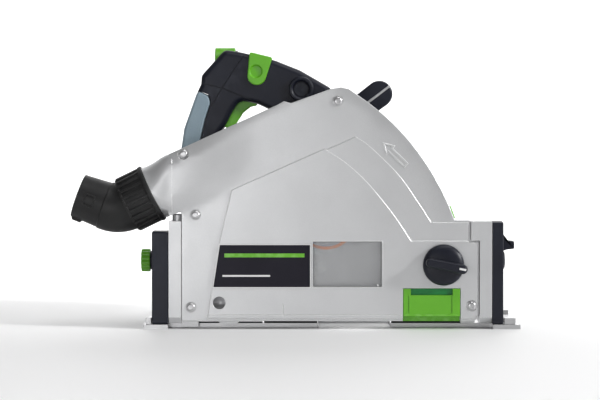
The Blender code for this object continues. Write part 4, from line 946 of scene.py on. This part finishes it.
def clamp_lever():
    """Cranked clamp lever with a rounded thumb tab and a hub."""
    y = CLAMP[0]
    lower = slab(capsule(CLAMP, 11.0, (y, 27.5), 5.0), 150.3, 154.2, axis="X", round_low=0.4, round_high=1.2)
    upper = slab(capsule(CLAMP, 10.6, (y, 79.5), 5.4), 150.3, 154.0, axis="X", round_low=0.4, round_high=1.2)
    side = softened([(152.5, 64.0), (159.0, 66.4), (165.9, 67.2), (165.9, 74.0), (159.5, 74.8), (156.0, 78.5),
                     (153.4, 84.0), (152.5, 84.0)], 1.2, 4)
    tab = slab(side, y - 7.5, y + 7.5, round_low=1.2, round_high=1.2)
    hub = rod(8.0, 153.0, 157.5, CLAMP, axis="X", ease=1.2)
    joined(lower, upper, tab, hub)
    cut(lower, rod(3.3, 149.0, 159.0, CLAMP, axis="X"))
    place(lower, "clamp_lever", "front_clamp", "black_plastic", ["front_tilt_lever"])


def fluted_tilt_knob():
    """Green fluted knob on a black hub."""
    green = slab(fluted(CLAMP, 10.4, 0.9, 12), -171.6, -163.4, axis="X", round_low=1.2, round_high=0.8)
    place(cut(green, rod(3.35, -169.6, -160.0, CLAMP, axis="X")), "tilt_knob", "rear_clamp", "green_plastic",
          ["rear_tilt_knob"])
    hub = turned(rounded_profile([(3.35, -163.9), (8.6, -163.9), (7.8, -157.8), (3.35, -157.8)], 0.5), CLAMP,
                 axis="X")
    place(hub, "tilt_knob_hub", "rear_clamp", "black_plastic")


def depth_fittings():
    """Depth stop with grip ridges, and the raised marks of its scale."""
    block = slab(softened(sector(PIVOT, 203.5, 221.0, 19.3, 22.5, 6), 1.2, 3), 16.0, 28.0, round_low=0.6,
                 round_high=1.0)
    button = rod(4.0, 27.5, 30.2, polar(PIVOT, 212.0, 20.9), ease=0.9)
    corners = ((204.2, 20.4), (204.2, 21.4), (201.4, 20.9))
    pointer = slab([polar(PIVOT, reach, angle) for reach, angle in corners], 16.8, 17.8)
    joined(block, button, pointer)
    for i in range(3):
        angle = 19.95 + 0.9 * i
        flat = swung(PIVOT, PIVOT, angle, 219.9, -0.6, 220.99, 0.6)
        joined(block, slab(flat, 17.0, 27.0, round_low=0.2, round_high=0.2, steps=2))
    place(block, "stop_slider", "depth_setting", "green_plastic", ["depth_stop"])
    ticks = []
    for i in range(23):
        angle = 19.5 + 1.5 * i
        reach = 4.6 if i % 5 == 0 else 2.6
        flat = swung(PIVOT, PIVOT, angle, 201.6 - reach, -0.3, 201.6, 0.3)
        ticks.append(slab(flat, 16.2, 16.45))
    place(one_of(ticks, "ticks"), "depth_marks", "carriage", "silver_paint", finish="label_line")


# ---------------------------------------------------------------- saw unit

def handle_outline():
    """Outer edge of the D-handle, down to the motor barrel."""
    corners = [(-95.3, 246.4), (-80.3, 244.0), (-49.8, 236.7), (-27.9, 228.0), (0.4, 211.7), (0.6, 204.0),
               (-7.0, 184.0), (-13.0, 166.0), (-14.0, 140.0), (-30.0, 118.0), (-70.0, 99.0), (-104.0, 99.0),
               (-122.0, 106.0), (-131.0, 124.0), (-134.2, 157.6), (-131.4, 175.9), (-119.3, 210.0),
               (-116.6, 215.4), (-116.1, 223.3)]
    return softened(corners, 7.0, 4, 4.0)


def finger_gap():
    """Opening of the D-handle."""
    corners = [(-83.0, 201.5), (-66.0, 198.0), (-52.0, 191.5), (-40.0, 180.0), (-39.0, 165.0),
               (-48.0, 152.0), (-66.0, 134.0), (-90.0, 127.0), (-106.0, 133.0), (-110.0, 150.0),
               (-104.0, 165.0), (-94.0, 180.0)]
    return softened(corners, 12.0, 4, 4.0)


def grip_outline():
    """Soft pad along the back of the handle."""
    corners = [(-119.4, 210.2), (-131.6, 176.0), (-134.4, 157.5), (-133.0, 145.0), (-121.0, 147.0),
               (-117.0, 165.0), (-112.5, 184.0), (-107.6, 199.0), (-109.5, 205.5)]
    return softened(corners, 5.0, 6, 4.0)


def trigger_outline():
    """Side of the trigger, concave in front."""
    corners = [(-85.5, 206.5), (-76.0, 206.5), (-66.8, 200.5), (-66.4, 196.5), (-72.0, 195.5), (-79.0, 190.0),
               (-85.5, 180.0), (-91.0, 174.0), (-97.5, 179.0), (-92.0, 193.0)]
    return softened(corners, 2.0, 4, 4.0)


def groove(points, width, low, high):
    """Narrow cutters that follow a line across a flat face."""
    return [slab(capsule(a, width / 2, b, width / 2 - 0.001, 4), low, high)
            for a, b in zip(points, points[1:])]


HANDLE_SCREWS = [(-104.0, 226.0), (-36.0, 218.0), (-26.0, 176.0), (-118.0, 120.0)]


def joint_spot(name):
    """Flat side position of a joint, in millimetres."""
    joints = frame["record"]["behaviour"]["joints"]
    place_at = next(joint["pos_m"] for joint in joints if joint["name"] == name)
    return place_at[0] / MM, place_at[2] / MM


TRIGGER_PIN = joint_spot("trigger_squeeze")
TRIGGER_SWEEP = (3.0, 6.0, 8.5)


def handle_half(name, near_side):
    """Half of the D-handle with rounded rims, seam grooves and screw wells."""
    low, high = HANDLE_MIDDLE - HANDLE_HALF, HANDLE_MIDDLE - 0.15
    rims = (5.0, 0.0)
    if not near_side:
        low, high = HANDLE_MIDDLE + 0.15, HANDLE_MIDDLE + HANDLE_HALF
        rims = (0.0, 5.0)
    shell = slab(handle_outline(), low, high, holes=[finger_gap()], round_low=rims[0],
                 round_high=rims[1], steps=6)
    cutters = [rod(38.8, low - 5.0, high + 5.0, MOTOR, steps=64),
               slab(grown(grip_outline(), CLEAR), low - 5.0, high + 5.0),
               slab(grown(trigger_outline(), 2.4), HANDLE_MIDDLE - 7.5, HANDLE_MIDDLE + 7.5),
               *[slab(grown([turn(spot, TRIGGER_PIN, -angle) for spot in trigger_outline()], 0.8),
                      HANDLE_MIDDLE - 7.5, HANDLE_MIDDLE + 7.5) for angle in TRIGGER_SWEEP],
               rod(12.3, -125.0, -85.6, (HANDLE_MIDDLE, INLET_Z), axis="X")]
    face, reach = (low, (low - 3.0, low + 0.8)) if near_side else (high, (high - 0.8, high + 3.0))
    cutters += groove([(-75.9, 244.5), (-88.0, 226.5), (-97.2, 212.6), (-107.0, 196.0)], 1.0, *reach)
    cutters += groove([(-117.5, 216.5), (-97.7, 212.0), (-67.2, 199.5)], 0.9, *reach)
    if not near_side:
        cutters += [rod(3.6, high - 4.0, high + 3.0, spot, steps=24) for spot in HANDLE_SCREWS]
    cut(shell, *cutters)
    place(shell, name, "saw_unit", "black_plastic", ["handle_shell_" + ("near" if near_side else "far")])
    if near_side:
        return
    screws = []
    for spot in HANDLE_SCREWS:
        profile = [(0.0, face - 4.2), (3.2, face - 4.2), (3.2, face - 2.4), (0.0, face - 2.0)]
        head = turned(rounded_profile(profile, 0.5), spot, steps=28)
        screws.append(cut(head, slab(star(spot, 1.7, 1.1), face - 3.2, face)))
    place(one_of(screws, "screws"), "handle_screws", "saw_unit", "bare_steel")


def soft_pad():
    """Soft pad with rounded rims along the back of the handle."""
    pad = slab(grip_outline(), HANDLE_MIDDLE - HANDLE_HALF, HANDLE_MIDDLE + HANDLE_HALF, round_low=2.6,
               round_high=2.6, steps=5)
    place(pad, "soft_pad", "saw_unit", "grip_rubber", ["handle_grip"])


def grip_frame(u, v):
    """Point of the front handle, u along its foot towards the bar and v across it."""
    heading = math.degrees(math.atan2(FRONT_GRIP[1] - FRONT_GRIP_FOOT[1], FRONT_GRIP[0] - FRONT_GRIP_FOOT[0]))
    return turn((FRONT_GRIP[0] + u, FRONT_GRIP[1] + v), FRONT_GRIP, heading)


def bar_half(side):
    """Half of the front handle, with a seam where its end cap starts."""
    bar = rod(12.0, 45.5, GRIP_END, FRONT_GRIP, ease=4.0, steps=64)
    foot = slab(capsule(FRONT_GRIP_FOOT, 11.5, FRONT_GRIP, 12.0), 44.5, 60.0, round_low=2.0, round_high=1.5)
    joined(bar, foot)
    for level in (60.8, GRIP_END - 14.0):
        cut(bar, turned([(11.4, level), (13.0, level), (13.0, level + 0.8), (11.4, level + 0.8)], FRONT_GRIP))
    away = [grip_frame(u, v) for u, v in rectangle(-60.0, -40.0 * side, 60.0, 1.1 * side)]
    return cut(bar, slab(away, 40.0, GRIP_END + 5.0))


def bar_handle():
    """Bar handle in front of the motor with its bright seam strip."""
    place(bar_half(1), "bar_upper", "saw_unit", "black_plastic", ["front_handle_upper"])
    place(bar_half(-1), "bar_lower", "saw_unit", "black_plastic", ["front_handle_lower"])
    in_bar = [grip_frame(u, v) for u, v in softened(rectangle(-12.3, -0.95, 12.3, 0.95), 0.5, 3)]
    in_foot = [grip_frame(u, v) for u, v in rectangle(-33.4, -0.95, -2.0, 0.95)]
    strip = joined(slab(in_bar, 45.3, GRIP_END - 3.0), slab(in_foot, 44.3, 60.2))
    place(strip, "bar_strip", "saw_unit", "aluminium", ["front_handle_strip"])


def release_frame(u, v):
    """Point on the plunge release, u along the handle's top edge and v out of it."""
    return turn((RELEASE_TOP[0] + u, RELEASE_TOP[1] + v), RELEASE_TOP, RELEASE_SLOPE)


def release_saddle():
    """Saddle over the handle's top arm, with a round dimple on each side."""
    crown = [release_frame(u, 2.3) for u in (10.6, -10.6)]
    tongue = [release_frame(u, v) for u, v in arc((0.6, -17.0), 8.4, 180.0, 360.0, 20)]
    side = HANDLE_HALF + 2.2
    saddle = slab(softened(crown + tongue, 2.0, 4, 25.0), HANDLE_MIDDLE - side, HANDLE_MIDDLE + side,
                  round_low=1.0, round_high=1.0)
    under = [release_frame(u, v) for u, v in rectangle(-40.0, -60.0, 40.0, 0.7)]
    room = slab(under, HANDLE_MIDDLE - HANDLE_HALF - CLEAR, HANDLE_MIDDLE + HANDLE_HALF + CLEAR)
    spot = release_frame(-1.0, -13.4)
    near = HANDLE_MIDDLE - side
    dip = [(0.0, near + 1.9), (4.8, near + 1.6), (6.2, near - 0.1), (6.2, near - 2.0), (0.0, near - 2.0)]
    dimple = turned(dip, spot)
    place(cut(saddle, room, dimple), "release_saddle", "release_slide", "green_plastic", ["plunge_release"])


def small_controls():
    """Trigger and blade-change lever with eased edges."""
    lever = slab(trigger_outline(), HANDLE_MIDDLE - 7.0, HANDLE_MIDDLE + 7.0, round_low=1.4, round_high=1.4)
    place(lever, "finger_trigger", "trigger_link", "green_plastic", ["trigger"])
    high = HANDLE_MIDDLE - HANDLE_HALF - CLEAR
    profile = [(6.9, high), (11.3, high), (11.3, high - 2.2), (10.4, high - 3.4), (9.0, high - 3.6),
               (7.6, high - 2.6), (6.9, high - 1.4)]
    hub = turned(rounded_profile(profile, 0.5), LEVER_PIN)
    arm = slab(capsule(polar(LEVER_PIN, 10.0, -43.0), 3.2, polar(LEVER_PIN, 19.0, -43.0), 3.1),
               high - 3.2, high,
               round_low=0.9)
    place(joined(hub, arm), "change_lever", "tool_lever", "black_plastic", ["tool_change_lever"])
    cup = turned([(0.0, high - 0.9), (6.2, high - 0.9), (6.2, high - 0.2), (0.0, high - 0.2)], LEVER_PIN)
    place(cup, "change_lever_cup", "saw_unit", "black_plastic")


def motor_shell():
    """Motor barrel with lengthwise ribs, air slots and a bolted flange."""
    shell = slab(capsule(MOTOR, 38.5, ARBOR, 23.6, 32), 44.5, 49.8, round_high=1.2)
    barrel = rod(38.1, 49.0, 150.0, MOTOR, ease=0.5, steps=96)
    joined(shell, barrel)
    slots = [slab(capsule(polar(MOTOR, 30.0, a), 2.2, polar(MOTOR, 44.0, a), 2.1, 6), 132.0, 144.0)
             for a in range(170, 381, 30)]
    ring = turned([(37.5, 126.0), (40.0, 126.0), (40.0, 127.0), (37.5, 127.0)], MOTOR, steps=96)
    cut(shell, rod(35.0, 50.0, 152.0, MOTOR, steps=64), rod(11.3, 43.0, 51.0, MOTOR), ring, *slots)
    place(shell, "motor_shell", "saw_unit", "black_plastic", ["motor_housing"])
    ribs = []
    for a in range(195, 346, 10):
        flat = [turn((MOTOR[0] + u, MOTOR[1] + v), MOTOR, a) for u, v in rectangle(37.6, -0.7, 38.45, 0.7)]
        ribs.append(slab(flat, 56.0, 122.0, round_low=0.3, round_high=0.3, steps=2))
    place(one_of(ribs, "ribs"), "motor_ribs", "saw_unit", "black_plastic")
    bolts = []
    for a in (200.0, 250.0, 350.0):
        spot = polar(MOTOR, 35.6, a)
        head = rod(2.6, 49.6, 52.2, spot, ease=0.4, steps=28)
        bolts.append(cut(head, slab(circle(spot, 1.5, 6), 51.0, 54.0)))
    place(one_of(bolts, "bolts"), "motor_bolts", "saw_unit", "bare_steel")


def motor_cap():
    """Rounded end cap with a ring of air slots."""
    profile = rounded_profile([(0.0, 163.0), (34.5, 163.0), (34.5, 150.3), (38.2, 150.3), (38.2, 161.5),
                               (36.8, 165.0), (33.4, 167.0), (0.0, 167.0)], 1.2, 4)
    cap = turned(profile, MOTOR, steps=96)
    hole = rod(8.4, 160.0, 170.0, (MOTOR[0], MOTOR[1] + 20.0))
    slots = [slab(capsule(polar(MOTOR, 14.0, a), 1.8, polar(MOTOR, 27.0, a), 1.7, 6), 160.0, 170.0)
             for a in range(165, 376, 15) if abs(a - 90) > 30 and abs(a - 450) > 70]
    ring = turned([(30.6, 166.4), (31.6, 166.4), (31.6, 168.0), (30.6, 168.0)], MOTOR, steps=96)
    cut(cap, hole, ring, *slots)
    place(cap, "motor_cap", "saw_unit", "black_plastic", ["motor_end_cap"])
    centre = (MOTOR[0], MOTOR[1] + 20.0)
    dial = slab(fluted(centre, 8.0, 0.5, 20), 163.6, 170.2, round_high=0.8, steps=3)
    grip = slab(capsule((centre[0] - 5.0, centre[1]), 1.1, (centre[0] + 5.0, centre[1]), 1.09), 169.5, 172.4,
                round_high=0.6, steps=3)
    place(joined(dial, grip), "motor_dial", "speed_control", "green_plastic", ["speed_dial"])


def cast_housing():
    """Cast gear case with rounded ribs, the swing arm and the arbor nose."""
    lug = polar(PIVOT, 205.0, 61.8)
    case = slab(capsule(ARBOR, 23.6, MOTOR, 20.3, 32), 16.5, 44.2, round_low=1.5)
    arm = slab(capsule(ARBOR, 16.0, PIVOT, 13.0, 24), 16.5, 41.7, round_low=1.2, round_high=2.5)
    nose = rod(20.0, 9.5, 17.5, ARBOR, ease=0.6, steps=64)
    lug_rib = slab(capsule((-10.0, 130.0), 9.0, lug, 4.0), 18.0, 32.5, round_low=1.5, round_high=1.5)
    grip_rib = slab(capsule((-8.0, 140.0), 9.2, FRONT_GRIP_FOOT, 9.0), 31.0, 44.2, round_low=2.0)
    joined(case, arm, nose, lug_rib, grip_rib)
    pocket = slab(capsule(polar(PIVOT, 30.0, 38.16), 6.5, polar(PIVOT, 84.0, 38.16), 7.0), 38.5, 44.0,
                  round_low=1.5)
    cut(case, rod(13.8, 8.0, 17.0, ARBOR), rod(6.3, 10.0, 43.0, PIVOT), pocket)
    place(case, "cast_housing", "saw_unit", "die_cast", ["gear_housing"])


# ---------------------------------------------------------------- blade

def toothed_disc():
    """Blade with gullets, expansion slots, carbide tips and a printed ring."""
    points = []
    pitch = 360.0 / 48
    for tooth in range(48):
        for radius, share in ((75.4, 0.0), (73.8, 0.07), (74.2, 0.16), (76.6, 0.24), (78.2, 0.34),
                              (80.0, 0.80), (77.2, 0.835), (75.4, 0.87)):
            points.append(polar(ARBOR, radius, (tooth + share) * pitch))
    slots = [capsule(polar(ARBOR, 61.0, a), 0.9, polar(ARBOR, 70.5, a), 0.35, 6) for a in range(44, 404, 72)]
    disc = slab(points, -0.9, 0.9, holes=[circle(ARBOR, 10.0, 48)] + slots)
    place(disc, "toothed_disc", "arbor_line", "bare_steel", ["saw_blade"], finish="blade_steel")
    tips = []
    for tooth in range(48):
        flat = [polar(ARBOR, radius, (tooth + share) * pitch)
                for radius, share in ((76.4, 0.72), (80.0, 0.66), (80.15, 0.81), (76.4, 0.845))]
        tips.append(slab(flat, -1.1, 1.1))
    place(one_of(tips, "tips"), "carbide_tips", "arbor_line", "bare_steel", finish="carbide")
    for name, low, high in (("near", -0.98, -0.88), ("far", 0.88, 0.98)):
        ring = slab(circle(ARBOR, 27.4, 64), low, high, holes=[circle(ARBOR, 24.8, 64)])
        place(ring, name + "_blade_ring", "arbor_line", "bare_steel", finish="orange_print")


def build_pieces():
    """Every detailed piece."""
    guard_shell()
    cover_screws()
    pivot_end()
    rear_post()
    name_plate()
    window_frame()
    splinter_insert()
    clamp_knob()
    ribbed_collar()
    smooth_elbow()
    tilt_guide("front", (140.2, 150.0, 99.5), 1)
    tilt_guide("rear", (-157.5, -143.1, 91.0), -1)
    rail_knob("front", 1)
    rail_knob("rear", -1)
    sole_fittings()
    clamp_lever()
    fluted_tilt_knob()
    depth_fittings()
    handle_half("handle_near", True)
    handle_half("handle_far", False)
    soft_pad()
    bar_handle()
    release_saddle()
    small_controls()
    motor_shell()
    motor_cap()
    cast_housing()
    toothed_disc()


# ---------------------------------------------------------------- kept nodes, stage and camera

def finish_nodes():
    """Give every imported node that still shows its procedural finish."""
    for part in frame["record"]["subparts"]:
        node = frame["nodes"][part["node"]]
        for holder in node.material_slots:
            holder.material = FINISHES[part["material_slot"]]
        even_normals(node)


def make_floor():
    """Pale seamless floor that sweeps up behind the saw."""
    wide, near, far, rise, bend = 6.0, -6.0, 2.6, 5.0, 1.2
    section = [(near, 0.0), (far - bend, 0.0)]
    for i in range(1, 9):
        angle = math.pi / 2 * i / 8
        section.append((far - bend + bend * math.sin(angle), bend * (1 - math.cos(angle))))
    section.append((far, rise))
    bm = bmesh.new()
    rows = [[bm.verts.new((x, y, z)) for y, z in section] for x in (-wide, wide)]
    for i in range(len(section) - 1):
        bm.faces.new((rows[0][i], rows[1][i], rows[1][i + 1], rows[0][i + 1]))
    mesh = bpy.data.meshes.new("studio_floor")
    bm.to_mesh(mesh)
    bm.free()
    mesh.shade_smooth()
    floor = bpy.data.objects.new("studio_floor", mesh)
    bpy.context.scene.collection.objects.link(floor)
    material = bpy.data.materials.new("studio_white")
    material.use_nodes = True
    tree = material.node_tree
    shader = tree.nodes["Principled BSDF"]
    where = add(tree, "TexCoord").outputs["Object"]
    cloud = textured(tree, where, "Noise", 1.5, Detail=2.0)
    tree.links.new(blended(tree, cloud, (0.86, 0.86, 0.865), (0.90, 0.90, 0.90)),
                   shader.inputs["Base Color"])
    tree.links.new(ramped(tree, cloud, 0.3, 0.7, 0.45, 0.6), shader.inputs["Roughness"])
    see_through = add(tree, "MixShader")
    tree.links.new(add(tree, "NewGeometry").outputs["Backfacing"], see_through.inputs[0])
    tree.links.new(shader.outputs[0], see_through.inputs[1])
    tree.links.new(add(tree, "BsdfTransparent").outputs[0], see_through.inputs[2])
    tree.links.new(see_through.outputs[0], tree.nodes["Material Output"].inputs["Surface"])
    mesh.materials.append(material)


def soft_light(name, place_at, aim, size, power):
    """Square area light that faces a point."""
    data = bpy.data.lights.new(name, "AREA")
    data.shape = "RECTANGLE"
    data.size, data.size_y = size
    data.energy = power
    light = bpy.data.objects.new(name, data)
    bpy.context.scene.collection.objects.link(light)
    light.location = place_at
    light.rotation_euler = (Vector(aim) - Vector(place_at)).to_track_quat("-Z", "Y").to_euler()


def light_studio():
    """Soft boxes above, beside and in front, with a bright room around them."""
    saw = (0.0, -0.08, 0.10)
    soft_light("key_top", (0.30, -0.45, 1.25), saw, (1.0, 0.5), 4.5)
    soft_light("low_left", (-0.52, -1.45, 0.04), (-0.14, -0.10, 0.06), (0.8, 0.5), 4.4)
    soft_light("side_right", (2.50, -1.10, 1.25), (0.09, -0.10, 0.06), (0.35, 0.35), 60.0)
    soft_light("back_rim", (0.2, 1.3, 1.2), saw, (1.6, 0.8), 4.0)
    soft_light("backdrop", (0.0, 0.9, 1.6), (0.0, 2.4, 0.5), (3.0, 1.0), 60.0)
    world = bpy.data.worlds.new("room")
    world.use_nodes = True
    backing = world.node_tree.nodes["Background"]
    backing.inputs["Color"].default_value = (1.0, 1.0, 1.0, 1.0)
    seen = add(world.node_tree, "LightPath").outputs["Is Camera Ray"]
    world.node_tree.links.new(ramped(world.node_tree, seen, 0.0, 1.0, 0.24, 0.95), backing.inputs["Strength"])
    bpy.context.scene.world = world
    bpy.context.scene.view_settings.view_transform = "Standard"


def set_camera():
    """Long lens from the blade cover's side, just above the work surface."""
    distance, elevation = 1.80, math.radians(1.6)
    aim = Vector((-0.0279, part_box("guard_cover")[0].y, 0.1131))
    data = bpy.data.cameras.new("photo_view")
    data.sensor_width = 36.0
    data.lens = 36.0 * distance / 0.5238
    camera = bpy.data.objects.new("photo_view", data)
    bpy.context.scene.collection.objects.link(camera)
    camera.location = aim + Vector((0.0, -math.cos(elevation), math.sin(elevation))) * distance
    camera.rotation_euler = (math.pi / 2 - elevation, 0.0, 0.0)
    bpy.context.scene.camera = camera


set_camera()
light_studio()
make_floor()
finish_nodes()
build_pieces()

bpy.context.view_layer.update()
